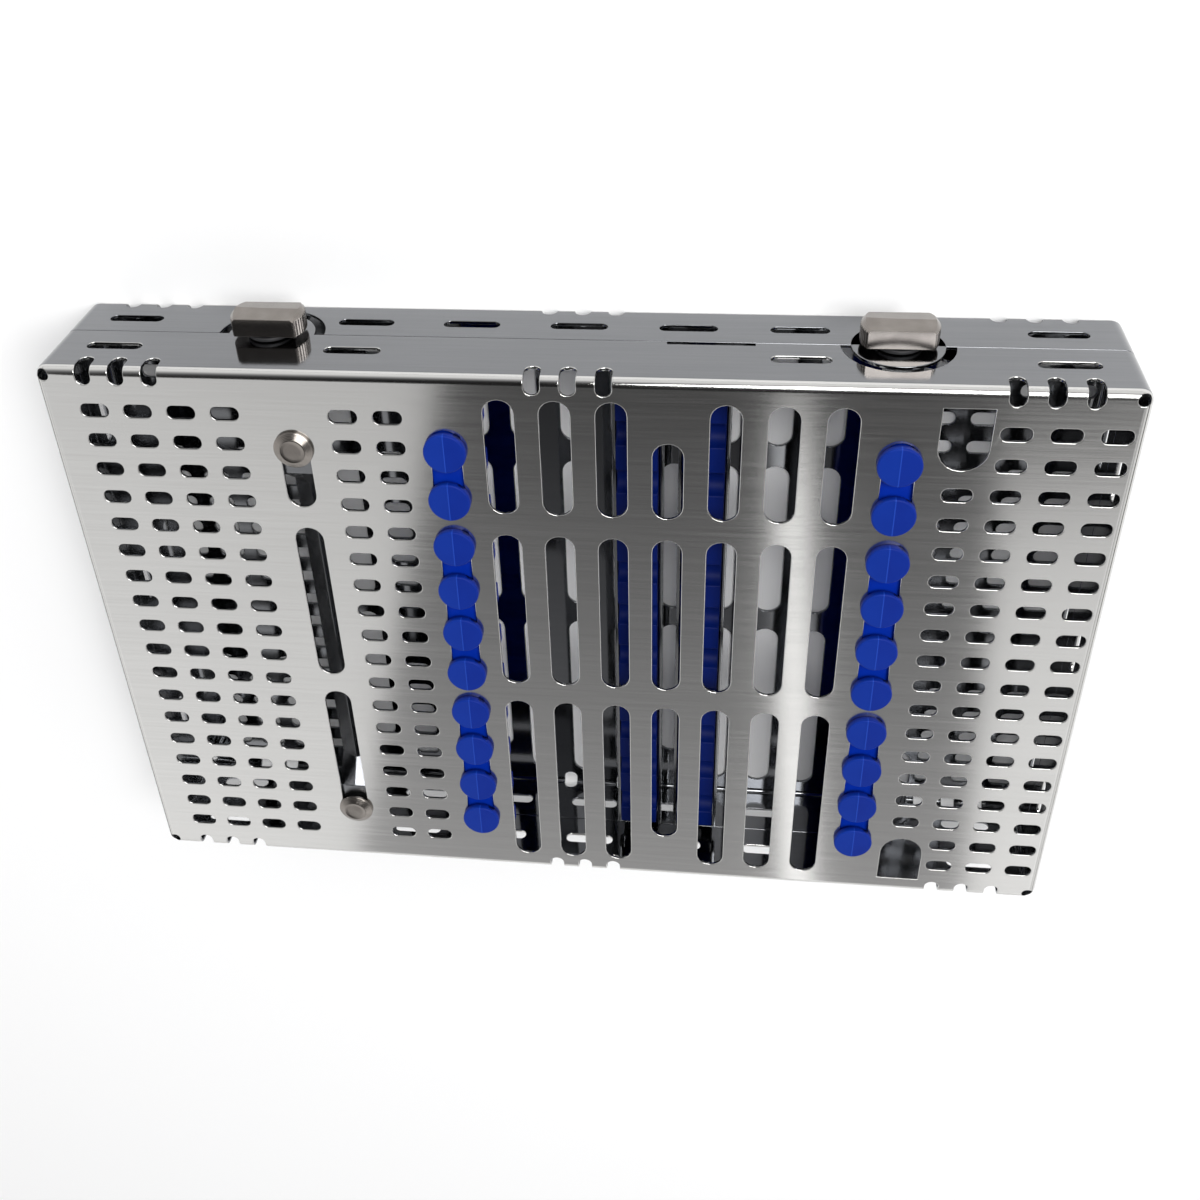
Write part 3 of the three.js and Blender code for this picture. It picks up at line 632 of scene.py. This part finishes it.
def small_slots(face, first_x, columns, rows):
    first_y = -(rows - 1) / 2 * SMALL_STEP_Y
    low = (first_x - SMALL_LENGTH / 2, first_y - SMALL_WIDTH / 2, face - REACH)
    high = (first_x + SMALL_LENGTH / 2, first_y + SMALL_WIDTH / 2, face + REACH)
    punch = slot_punch(low, high, "Z", roundness=0.9, segments=4)
    return repeat(repeat(punch, columns, x=SMALL_STEP_X), rows, y=SMALL_STEP_Y)


def all_small_slots(face):
    return [small_slots(face, *group) for group in SMALL_GROUPS]


print("Small slots in each tray:", sum(columns * rows for _, columns, rows in SMALL_GROUPS))

# %% The long slots: three in line, parted by two bars of the face
GRID_X, GRID_STEP = -25.6, 14.6
RAIL_X = (GRID_X + 4 * GRID_STEP, GRID_X - 4 * GRID_STEP)
ACCESSORY_X = 74.0
FRONT_BAR, BACK_BAR, BAR = -45.3, 14.4, 7.0
LONG_WIDTH, RAIL_WIDTH = 8, 8.2
LONG_MARGIN, MIDDLE_MARGIN, RAIL_MARGIN, ACCESSORY_MARGIN = 6.6, 18.2, 16, 18


def slot_line(x, margin, width, face, columns=1):
    spans = (
        (margin - HALF_Y, FRONT_BAR - BAR / 2),
        (FRONT_BAR + BAR / 2, BACK_BAR - BAR / 2),
        (BACK_BAR + BAR / 2, HALF_Y - margin),
    )
    lines = [face_slot(x, low, high, width, face) for low, high in spans]
    return [repeat(line, columns, x=GRID_STEP) for line in lines]


def all_long_slots(face):
    return [
        *slot_line(GRID_X - 3 * GRID_STEP, LONG_MARGIN, LONG_WIDTH, face, columns=3),
        *slot_line(GRID_X, MIDDLE_MARGIN, LONG_WIDTH, face),
        *slot_line(GRID_X + GRID_STEP, LONG_MARGIN, LONG_WIDTH, face, columns=3),
        *slot_line(RAIL_X[0], RAIL_MARGIN, RAIL_WIDTH, face),
        *slot_line(RAIL_X[1], RAIL_MARGIN, RAIL_WIDTH, face),
        *slot_line(ACCESSORY_X, ACCESSORY_MARGIN, LONG_WIDTH, face),
    ]


# %% The lanced openings, and the slots that fold over the bends
LANCE_WIDTH, LANCE_LENGTH, LANCE_MARGIN = 12.5, 17.7, 5.8
FOLD_GROUP, FOLD_STEP, FOLD_WIDTH = 119.3, 9.15, 4.2
FOLD_REACH = 5.0


def lances(face):
    """Flat towards the wall, round towards the middle of the face."""
    punches = []
    for side in (-1, 1):
        flat, tip = side * (HALF_Y - LANCE_MARGIN), side * (HALF_Y - LANCE_MARGIN - LANCE_LENGTH)
        low = (SHORT_X - LANCE_WIDTH / 2, min(flat, tip), face - REACH)
        high = (SHORT_X + LANCE_WIDTH / 2, max(flat, tip), face + REACH)
        punches.append(slot_punch(low, high, "Z", rounded=lambda p: abs(p.y - tip) < 1))
    return punches


def in_groups(punch):
    """Three slots a short step apart, and three such groups along the case."""
    return repeat(repeat(punch, 3, x=FOLD_STEP), 3, x=FOLD_GROUP)


def fold_ends(face, into):
    """The part of the folded slots that shows on the face."""
    punches = []
    for side in (-1, 1):
        x = -FOLD_GROUP - FOLD_STEP
        near, far = side * (HALF_Y - FOLD_REACH), side * (HALF_Y + 4)
        heights = sorted((face + into * 2.5, face - into * 3))
        low = (x - FOLD_WIDTH / 2, min(near, far), heights[0])
        high = (x + FOLD_WIDTH / 2, max(near, far), heights[1])
        punch = slot_punch(low, high, "Z", rounded=lambda p: abs(p.y - near) < 1)
        punches.append(in_groups(punch))
    return punches


def fold_drops(face, into, drop):
    """The part of the folded slots that shows on the front and back walls."""
    punches = []
    for side in (-1, 1):
        x = -FOLD_GROUP - FOLD_STEP
        depths = sorted((side * (HALF_Y - 2.5), side * (HALF_Y + 2)))
        end = face + into * drop
        heights = sorted((end, face - into * 4))
        low = (x - FOLD_WIDTH / 2, depths[0], heights[0])
        high = (x + FOLD_WIDTH / 2, depths[1], heights[1])
        punch = slot_punch(low, high, "Y", rounded=lambda p: abs(p.z - end) < 1)
        punches.append(in_groups(punch))
    return punches


# %% The slots in the walls, and the small holes where three bends meet
WALL_SLOT, WALL_SLOT_WIDTH, END_STEP = 15.4, 3.6, 58.4
CORNER = 2.5


def wall_slot(x, z, side):
    low = (x - WALL_SLOT / 2, side * HALF_Y - REACH, z - WALL_SLOT_WIDTH / 2)
    high = (x + WALL_SLOT / 2, side * HALF_Y + REACH, z + WALL_SLOT_WIDTH / 2)
    return slot_punch(low, high, "Y")


def end_slots(z):
    punches = []
    for side in (-1, 1):
        low = (side * HALF_X - REACH, -END_STEP - WALL_SLOT / 2, z - WALL_SLOT_WIDTH / 2)
        high = (side * HALF_X + REACH, -END_STEP + WALL_SLOT / 2, z + WALL_SLOT_WIDTH / 2)
        punches.append(repeat(slot_punch(low, high, "X"), 3, y=END_STEP))
    return punches


def corner_holes(face, into):
    hole = rod("punch", (CORNER - HALF_X, CORNER - HALF_Y, face + into), "Z", 1.6, 7, sides=24)
    return repeat(repeat(hole, 2, x=2 * (HALF_X - CORNER)), 2, y=2 * (HALF_Y - CORNER))


# %% The tab of each lanced opening, and the round tongue that carries a knob
TAB_HALF, TAB_ROUND, TAB_ROOT = 5.75, 5.6, 0.5
TONGUE_RADIUS, NOTCH_RADIUS, BORE = 11.9, 14.6, 3.3
TRAY_EDGE = 0.22


def add_tab(tray, side, face, into):
    flat = side * (HALF_Y - LANCE_MARGIN)
    tip = face + into * LANCE_LENGTH
    depths, heights = sorted((flat, flat + side)), sorted((face + into * TAB_ROOT, tip))
    low = (SHORT_X - TAB_HALF, depths[0], heights[0])
    tab = block("tab", low, (SHORT_X + TAB_HALF, depths[1], heights[1]))
    at_tip = lambda edge: runs_along(edge, "Y") and abs(spot(edge).z - tip) < 0.01
    round_edges(tab, TAB_ROUND, 8, at_tip)
    return combine(tray, tab, "UNION")


def add_tongue(tray, x):
    disc = rod("tongue", (x, SHEET / 2 - HALF_Y, SEAM), "Y", TONGUE_RADIUS, SHEET, sides=64)
    combine(tray, disc, "UNION")
    return cut(tray, rod("punch", (x, -HALF_Y, SEAM), "Y", BORE, 8, sides=32))


def punched_tray(name, rim, face, fold_drop, wall_slots, other_latch_x, extra=()):
    into = 1 if rim > face else -1
    tray = pressed_tray(name, rim, face)
    cut(tray, *all_small_slots(face), *all_long_slots(face), *lances(face), *fold_ends(face, into))
    notch = rod("punch", (other_latch_x, -HALF_Y, SEAM), "Y", NOTCH_RADIUS, 5, sides=64)
    drops = fold_drops(face, into, fold_drop)
    cut(tray, *drops, *wall_slots, corner_holes(face, into), notch, *extra)
    for side in (-1, 1):
        add_tab(tray, side, face, into)
    add_tongue(tray, -other_latch_x)
    return ease_edges(tray, TRAY_EDGE)


# %% Base tray
MIDDLE_SLOTS = [-58.4, -29.2, 0, 29.2, 58.4]
FAR_SLOTS = [-124, 124]
BASE_SLOT_Z, BASE_DROP = 11, 4
base_slots = [wall_slot(x, BASE_SLOT_Z, side) for x in MIDDLE_SLOTS + FAR_SLOTS for side in (-1, 1)]
base_slots += end_slots(BASE_SLOT_Z)
base = punched_tray("base_tray", BASE_RIM, 0, BASE_DROP, base_slots, LATCH_X)
dress(base, "base", "base_shell", base_sheet)

# %% Lid tray, with a finger gap in its front rim
LID_SLOT_Z, LID_DROP = LID_TOP - 13.2, 6.5
GAP_LEFT, GAP_RIGHT, GAP_HEIGHT = -46.8, -24, 1.5
lid_slots = [wall_slot(x, LID_SLOT_Z, 1) for x in MIDDLE_SLOTS + FAR_SLOTS]
lid_slots += [wall_slot(x, LID_SLOT_Z, -1) for x in (-58.4, 58.4, *FAR_SLOTS)]
gap_low = (GAP_LEFT, -HALF_Y - REACH, LID_RIM - REACH)
gap = block("punch", gap_low, (GAP_RIGHT, -HALF_Y + REACH, LID_RIM + GAP_HEIGHT))
lid_slots += end_slots(LID_SLOT_Z)
lid = punched_tray("lid_tray", LID_RIM, LID_TOP, LID_DROP, lid_slots, -LATCH_X, [gap])
dress(lid, "lid", "lid_shell", lid_sheet)

# %% [markdown]
# ## Gripping rails
# A rail hangs under the lid and presses the instruments into the rests below. Its ten heads were
# pulled through the slot from inside, so each is wider than the slot and sits on the face. A head
# is a cylinder that Intersect leaves with a very low roof, and the bead of the mould's parting
# line runs along the ridge. The comb is a block with a row of round grooves cut from below.

# %% The heads
HEAD_STEP, HEADS = 15.1, 10
HEAD_RADIUS, HEAD_ROOF, HEAD_EDGE = 5.75, 0.25, 0.55
HEAD_LOW, HEAD_TOP = LID_TOP + 0.05, LID_TOP + 2.1
NECK_RADIUS, BEAD_HALF, BEAD_REACH, BEAD_RISE = 2.6, 0.16, 5.1, 0.07
RAIL_TOP, RAIL_END = LID_TOP - SHEET - 0.3, 77.9
RAIL_LOW, RAIL_HALF, RAIL_GROOVE = RAIL_TOP - 9.6, 9, 4.6
FIRST_HEAD_Y = -(HEADS - 1) / 2 * HEAD_STEP


def ridged_block(name, low, high, across, outward, rise):
    """A block parted down the middle, with the parting edge of its outward side lifted."""
    piece = block(name, low, high)
    middle = (at(*low) + at(*high)) / 2
    pick(piece, "FACE", lambda face: True)
    bpy.ops.mesh.bisect(plane_co=middle, plane_no=across)
    across, outward = Vector(across), Vector(outward)
    on_ridge = lambda point: (
        abs((point.co - middle).dot(across)) < 1e-5 and (point.co - middle).dot(outward) > 0
    )
    pick(piece, "VERT", on_ridge)
    bpy.ops.transform.translate(value=outward * rise * MM)
    let_go()
    return piece


def rail_head(x, y):
    head = rod("head", (x, y, HEAD_TOP - 0.5), "Z", HEAD_RADIUS, 3)
    low, high = (x - 7, y - 7, HEAD_LOW), (x + 7, y + 7, HEAD_TOP - HEAD_ROOF)
    combine(head, ridged_block("roof", low, high, RIGHT, UP, HEAD_ROOF), "INTERSECT")
    on_rim = lambda edge: spot(edge).z > HEAD_TOP - 0.6 and not runs_along(edge, "Y")
    round_edges(head, HEAD_EDGE, 4, on_rim)
    low = (x - BEAD_HALF, y - BEAD_REACH, HEAD_TOP - 0.5)
    bead = block("bead", low, (x + BEAD_HALF, y + BEAD_REACH, HEAD_TOP + BEAD_RISE))
    combine(head, bead, "UNION")
    middle, length = (x, y, (RAIL_TOP + HEAD_LOW) / 2), HEAD_LOW - RAIL_TOP + 1
    return combine(head, rod("neck", middle, "Z", NECK_RADIUS, length, sides=32), "UNION")


# %% The comb
def comb(name, low, high, groove_z, groove_radius):
    """A strip with half-round grooves across it, one in line with each head."""
    strip = block(name, low, high)
    middle = (low[0] + high[0]) / 2
    groove = rod("punch", (middle, FIRST_HEAD_Y, groove_z), "X", groove_radius, 30, sides=40)
    return ease_edges(cut(strip, repeat(groove, HEADS, y=HEAD_STEP)), 0.4, segments=3)


for number, x in enumerate(RAIL_X, start=1):
    low, high = (x - RAIL_HALF, -RAIL_END, RAIL_LOW), (x + RAIL_HALF, RAIL_END, RAIL_TOP)
    rail = comb(f"gripping_rail_{number}", low, high, RAIL_LOW, RAIL_GROOVE)
    combine(rail, repeat(rail_head(x, FIRST_HEAD_Y), HEADS, y=HEAD_STEP), "UNION")
    shade(rail)
    finish = silicone_finish(f"rail_silicone_{number}", *HEAD_BLUES, parting_x=x)
    dress(rail, "lid", f"grip_rail_{number}", finish)

# %% [markdown]
# ## Notched rests
# Two bent channels stand on the floor of the base, side by side, and hold a blue strip each. The
# channel is a block with its open sides deleted, its folds rounded and Solidify for the sheet,
# the same recipe as the trays. The notches face up here and meet the rails' grooves.

# %% Bent sheet
FOLD_RADIUS = 1.2


def bent_sheet_piece(name, low, high, open_sides):
    """A sheet folded round a block, left away on its open sides."""
    piece = block(name, low, high)
    pick(piece, "FACE", lambda face: any(face.normal.dot(Vector(way)) > 0.9 for way in open_sides))
    bpy.ops.mesh.delete(type="FACE")
    round_edges(piece, FOLD_RADIUS, 5, lambda edge: edge.is_manifold)
    return modify(piece, "SOLIDIFY", thickness=SHEET * MM, offset=-1, use_even_offset=True)


CHANNEL_LOW, CHANNEL_END, FLOOR = 19.0, 83.0, SHEET + 0.3
CHANNEL_HALF, CHANNEL_HEIGHT, LEG_HALF, LEG_DEPTH = 7, 6, 6, 5
STRIP_HALF, STRIP_LOW, STRIP_TOP = 5.7, CHANNEL_LOW + 1.3, CHANNEL_LOW + 10.5
STRIP_GROOVE, CHANNEL_ASIDE = 3.6, 9


def rest_channel(name, x):
    low = (x - CHANNEL_HALF, -CHANNEL_END, CHANNEL_LOW)
    high = (x + CHANNEL_HALF, CHANNEL_END, CHANNEL_LOW + CHANNEL_HEIGHT)
    channel = bent_sheet_piece(name, low, high, [UP, BACK, FRONT])
    for side in (-1, 1):
        near, far = sorted((side * CHANNEL_END, side * (CHANNEL_END - LEG_DEPTH)))
        inner = FRONT if side > 0 else BACK
        low, high = (x - LEG_HALF, near, FLOOR), (x + LEG_HALF, far, CHANNEL_LOW + SHEET)
        leg = bent_sheet_piece("leg", low, high, [UP, LEFT, RIGHT, inner])
        combine(channel, leg, "UNION")
    return ease_edges(channel, 0.15)


for number, x in enumerate((GRID_X + CHANNEL_ASIDE, GRID_X - CHANNEL_ASIDE), start=1):
    channel = rest_channel(f"channel_{number}", x)
    dress(channel, "base", f"rest_channel_{number}", bent_sheet)
    low, high = (x - STRIP_HALF, -RAIL_END, STRIP_LOW), (x + STRIP_HALF, RAIL_END, STRIP_TOP)
    strip = comb(f"notched_strip_{number}", low, high, STRIP_TOP, STRIP_GROOVE)
    dress(strip, "base", f"rest_strip_{number}", silicone)

# %% [markdown]
# ## Accessory bar
# A strip of sheet hangs in the wide slot for burs and small parts. It has a flat foot at each
# end, a ramp down from it, and a fold along the middle of the lower run. The strip is drawn out
# edge by edge from one small grid: each Extrude adds a stretch, and lifting the middle point at
# the foot of the ramp starts the fold.

# %% The bar
BAR_FOOT, BAR_BEND, BAR_RUN = 75.8, 58.8, 51.8
BAR_DROP, BAR_FOLD, BAR_WIDTH, BAR_SHEET = 9.0, 3.0, 10, 1.2


def draw_out(piece, end_y, y, z=0.0):
    """Extrudes the edges that end the strip."""
    pick(piece, "EDGE", lambda edge: edge.is_boundary and abs(spot(edge).y - end_y) < 0.01)
    bpy.ops.mesh.extrude_region_move(TRANSFORM_OT_translate={"value": (0, y * MM, z * MM)})
    let_go()


def shift_middle(piece, x, y, z):
    pick(piece, "VERT", lambda point: (spot(point) - Vector((x, y, spot(point).z))).length < 0.01)
    bpy.ops.transform.translate(value=(0, 0, z * MM))
    let_go()


let_go()
foot_middle = at(ACCESSORY_X, -(BAR_FOOT + BAR_BEND) / 2, RAIL_TOP)
bpy.ops.mesh.primitive_grid_add(x_subdivisions=2, y_subdivisions=1, size=1, location=foot_middle)
bpy.context.object.scale = (BAR_WIDTH * MM, (BAR_FOOT - BAR_BEND) * MM, 1)
bar = settle(bpy.context.object, "folded_bar")
draw_out(bar, -BAR_BEND, BAR_BEND - BAR_RUN, -BAR_DROP)
shift_middle(bar, ACCESSORY_X, -BAR_RUN, BAR_FOLD)
draw_out(bar, -BAR_RUN, 2 * BAR_RUN)
draw_out(bar, BAR_RUN, BAR_BEND - BAR_RUN, BAR_DROP)
shift_middle(bar, ACCESSORY_X, BAR_BEND, -BAR_FOLD)
draw_out(bar, BAR_BEND, BAR_FOOT - BAR_BEND)
modify(bar, "SOLIDIFY", thickness=BAR_SHEET * MM, offset=-1, use_even_offset=True)
ease_edges(bar, 0.25, angle=20)
dress(bar, "lid", "accessory_bar", bar_sheet)

# %% [markdown]
# ## The bar's rivets
# The head is a low cone with a flat middle that shows the tool's rings. A cylinder's cap, inset
# with a little height, gives the cone in one move. Shank and tail close it below the bar.

# %% Rivets
RIVET_Y, DISC_RADIUS, SHANK_RADIUS, TAIL_RADIUS = 67.3, 5.4, 2.4, 3.8
DISC_STEPS = ((2.0, 1.15), (0.25, -0.12), (1.0, -0.05))


def rivet(name, y):
    head = rod(name, (ACCESSORY_X, y, LID_TOP + 0.45), "Z", DISC_RADIUS, 0.8, sides=64)
    pick(head, "FACE", lambda face: face.normal.z > 0.9)
    for inward, upward in DISC_STEPS:
        bpy.ops.mesh.inset(thickness=inward * MM, depth=upward * MM)
    shank = rod("shank", (ACCESSORY_X, y, LID_TOP - 1.6), "Z", SHANK_RADIUS, 4, sides=32)
    tail = rod("tail", (ACCESSORY_X, y, LID_TOP - 3.4), "Z", TAIL_RADIUS, 1.2, sides=48)
    combine(combine(head, shank, "UNION"), tail, "UNION")
    return ease_edges(head, 0.18, angle=25)


for number, side in enumerate((-1, 1), start=1):
    finish = turned_finish(f"rivet_steel_{number}", (ACCESSORY_X, side * RIVET_Y, 0), "Z")
    piece = rivet(f"bar_rivet_{number}", side * RIVET_Y)
    dress(piece, "lid", f"accessory_rivet_{number}", finish)

# %% [markdown]
# ## Hinges
# Each hinge is two leaves on the back walls with rolled knuckles round one pin. Knuckle and
# plate are a cylinder and a block in one, bored through, and the pin has a low head at each end.
# A Boolean leaves seams where level faces met, and Limited Dissolve takes them out again.

# %% Hinges
HINGE_X, HINGE_WIDTH = 84.0, 32.0
HINGE_Y, HINGE_Z, KNUCKLE = 92.9, 21.6, 2.6
HALF_LEAF, LEAF_REACH, LEAF_NEAR, LEAF_FAR = HINGE_WIDTH / 2, 15.6, 90.3, 91.3
LID_SPANS = [(-8, 8)]
BASE_SPANS = [(-HALF_LEAF, -8.3), (8.3, HALF_LEAF)]


def leaf(name, x, up, spans):
    """Up is 1 for the lid's leaf and -1 for the base's, spans are the knuckles' ends."""
    far = HINGE_Z + up * LEAF_REACH
    ends = sorted((HINGE_Z + up * (KNUCKLE + 0.3), far))
    plate = block(name, (x - HALF_LEAF, LEAF_NEAR, ends[0]), (x + HALF_LEAF, LEAF_FAR, ends[1]))
    corner = lambda edge: runs_along(edge, "Y") and abs(spot(edge).z - far) < 0.01
    round_edges(plate, 3, 6, corner)
    for start, end in spans:
        middle = x + (start + end) / 2
        heights = sorted((HINGE_Z, HINGE_Z + up * (KNUCKLE + 0.6)))
        neck_low = (x + start, LEAF_NEAR, heights[0])
        neck = block("neck", neck_low, (x + end, LEAF_FAR, heights[1]))
        combine(plate, neck, "UNION")
        knuckle = rod("knuckle", (middle, HINGE_Y, HINGE_Z), "X", KNUCKLE, end - start, sides=32)
        combine(plate, knuckle, "UNION")
    cut(plate, rod("punch", (x, HINGE_Y, HINGE_Z), "X", 1.5, HINGE_WIDTH + 4, sides=24))
    pick(plate, "EDGE", lambda edge: True)
    bpy.ops.mesh.dissolve_limited(angle_limit=math.radians(1))
    let_go()
    return ease_edges(plate, 0.15)


def pin(name, x):
    shaft = rod(name, (x, HINGE_Y, HINGE_Z), "X", 1.2, HINGE_WIDTH + 1, sides=24)
    for side in (-1, 1):
        place = (x + side * (HALF_LEAF + 0.8), HINGE_Y, HINGE_Z)
        combine(shaft, rod("pin_head", place, "X", 2.0, 1.0, sides=32), "UNION")
    return ease_edges(shaft, 0.25, segments=3)


for number, x in enumerate((HINGE_X, -HINGE_X), start=1):
    base_leaf = leaf(f"base_leaf_{number}", x, -1, BASE_SPANS)
    dress(base_leaf, "base", f"hinge_leaf_base_{number}", bent_sheet)
    lid_leaf = leaf(f"lid_leaf_{number}", x, 1, LID_SPANS)
    dress(lid_leaf, "lid", f"hinge_leaf_lid_{number}", bent_sheet)
    hinge_pin = pin(f"pin_{number}", x)
    steel = turned_finish(f"pin_steel_{number}", (x, HINGE_Y, HINGE_Z), "X")
    dress(hinge_pin, "base", f"hinge_pin_{number}", steel)

# %% [markdown]
# ## Latches
# A knob is turned, knurled along its length, chamfered and then milled to two flats with a low
# ridge across its end. The same steps are taken here: a cylinder with every fourth line of points
# drawn in towards the axis, then Intersect with a cone for the chamfer and with a block for the
# flats. Two slanting cuts leave the ridge. Sixty cutters in a Boolean would make the knurl too,
# but they leave slivers, and so does a plane that runs exactly through a line of points.

# %% Knob
KNOB_FOOT, KNOB_END, KNOB_RADIUS, KNOB_FLAT = -91.6, -97.5, 10.0, 5.6
KNOB_RIDGE, KNOB_EDGE, KNURLS, KNURL_DEPTH, OFF_LEVEL = 0.9, 0.12, 60, 0.3, 0.7
SHAFT_RADIUS = 3


def knurled_rod(name, x):
    length = KNOB_FOOT - KNOB_END
    middle = (x, (KNOB_FOOT + KNOB_END) / 2, SEAM)
    body = rod(name, middle, "Y", KNOB_RADIUS, length, sides=4 * KNURLS)
    axis = at(*middle)

    def in_groove(point):
        turns = math.atan2(point.co.z - axis.z, point.co.x - axis.x) / (2 * math.pi) * KNURLS
        return abs(turns - round(turns)) < 0.1

    pick(body, "VERT", in_groove)
    inward = 1 - KNURL_DEPTH / KNOB_RADIUS
    bpy.ops.transform.resize(value=(inward, 1, inward), center_override=axis)
    let_go()
    return body


def knob(name, x):
    body = knurled_rod(name, x)
    bpy.ops.mesh.primitive_cone_add(
        vertices=120,
        radius1=(KNOB_RADIUS - 1.3) * MM,
        radius2=(KNOB_RADIUS + 6.7) * MM,
        depth=10 * MM,
        location=at(x, KNOB_END + 5, SEAM),
        rotation=(-math.pi / 2, 0, 0),
    )
    combine(body, settle(bpy.context.object, "chamfer"), "INTERSECT")
    # Turned a little, so that no line of points lies level with the end face's ridge.
    pick(body, "VERT", lambda point: True)
    turn = math.radians(OFF_LEVEL)
    bpy.ops.transform.rotate(value=turn, orient_axis="Y", center_override=at(x, 0, SEAM))
    low, high = (x - 12, KNOB_END - 1, SEAM - KNOB_FLAT), (x + 12, KNOB_FOOT + 1, SEAM + KNOB_FLAT)
    combine(body, block("mill", low, high), "INTERSECT")

    slope, ridge = math.atan2(KNOB_RIDGE, KNOB_FLAT), at(x, KNOB_END + 0.02, SEAM)
    for side in (-1, 1):
        slice_away(body, ridge, (0, -math.cos(slope), side * math.sin(slope)))

    def of_flat(edge):
        return abs(abs(spot(edge).z - SEAM) - KNOB_FLAT) < 0.01 and runs_along(edge, "X")

    round_edges(body, KNOB_EDGE, 1, of_flat)
    shaft = rod("shaft", (x, -90.25, SEAM), "Y", SHAFT_RADIUS, 3.1, sides=40)
    return shade(combine(body, shaft, "UNION"), 6)


# %% Washer, and the cam that turns behind the other tray's keeper
WASHER_Y, WASHER_RADIUS = -90.8, 6
CAM_Y, CAM_RADIUS, CAM_DEPTH, CAM_HOLLOW = -86.9, 10.5, 3, 7.5
HUB_Y, HUB_RADIUS, CAM_BORE, CAM_SPREAD = -87.9, 5, 1.5, 22


def washer(name, x):
    ring = rod(name, (x, WASHER_Y, SEAM), "Y", WASHER_RADIUS, 1, sides=64)
    return ease_edges(cut(ring, rod("punch", (x, WASHER_Y, SEAM), "Y", BORE, 4, sides=40)), 0.2)


def cam(name, x):
    """A hub with one arm, and a curved rib across the arm's end."""
    side = math.copysign(1, x)
    spread = math.radians(CAM_SPREAD)
    arm = rod(name, (x, CAM_Y, SEAM), "Y", CAM_RADIUS, CAM_DEPTH, sides=96)
    cut(arm, rod("punch", (x, -85.4, SEAM), "Y", CAM_HOLLOW, 4, sides=72))
    for turn in (-1, 1):
        outward = (-side * math.sin(spread), 0, turn * math.cos(spread))
        slice_away(arm, at(x - side * 0.6, 0, SEAM), outward)
    combine(arm, rod("hub", (x, HUB_Y, SEAM), "Y", HUB_RADIUS, 1, sides=64), "UNION")
    return ease_edges(cut(arm, rod("punch", (x, -88, SEAM), "Y", CAM_BORE, 6, sides=24)), 0.12)


for tray, x in (("lid", LATCH_X), ("base", -LATCH_X)):
    steel = turned_finish(f"knob_steel_{tray}", (x, 0, SEAM), "Y")
    grip = knob(f"knob_{tray}", x)
    dress(grip, f"{tray}_latch", f"latch_knob_{tray}", steel)
    ring = washer(f"washer_{tray}", x)
    dress(ring, f"{tray}_latch", f"latch_washer_{tray}", polymer)
    hook = cam(f"cam_{tray}", x)
    dress(hook, f"{tray}_latch", f"latch_cam_{tray}", bent_sheet)
    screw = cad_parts[f"latch_screw_{tray}"]
    screw.data.materials.clear()
    screw.data.materials.append(steel)

# %% Keepers: a folded strip on each tray, with a lip towards the wall
KEEPER_HALF, KEEPER_FRONT, KEEPER_BACK, KEEPER_REACH = 4, -85, -79, 5
LIP_FRONT, LIP_BACK = -87, -84.5


def keeper(name, x, face, lip, into):
    heights = sorted((face, lip))
    low = (x - KEEPER_HALF, KEEPER_FRONT, heights[0])
    high = (x + KEEPER_HALF, KEEPER_BACK, heights[1])
    open_end = UP if into > 0 else DOWN
    strip = bent_sheet_piece(name, low, high, [open_end, LEFT, RIGHT, BACK])
    edges = sorted((lip, lip - into * SHEET))
    lip_low = (x - KEEPER_HALF, LIP_FRONT, edges[0])
    lip_piece = block("lip", lip_low, (x + KEEPER_HALF, LIP_BACK, edges[1]))
    return ease_edges(combine(strip, lip_piece, "UNION"), 0.15)


base_keeper = keeper("keeper_base", LATCH_X, FLOOR, SEAM - KEEPER_REACH, 1)
dress(base_keeper, "base", "latch_keeper_base", bent_sheet)
lid_keeper = keeper("keeper_lid", -LATCH_X, RAIL_TOP, SEAM + KEEPER_REACH, -1)
dress(lid_keeper, "lid", "latch_keeper_lid", bent_sheet)
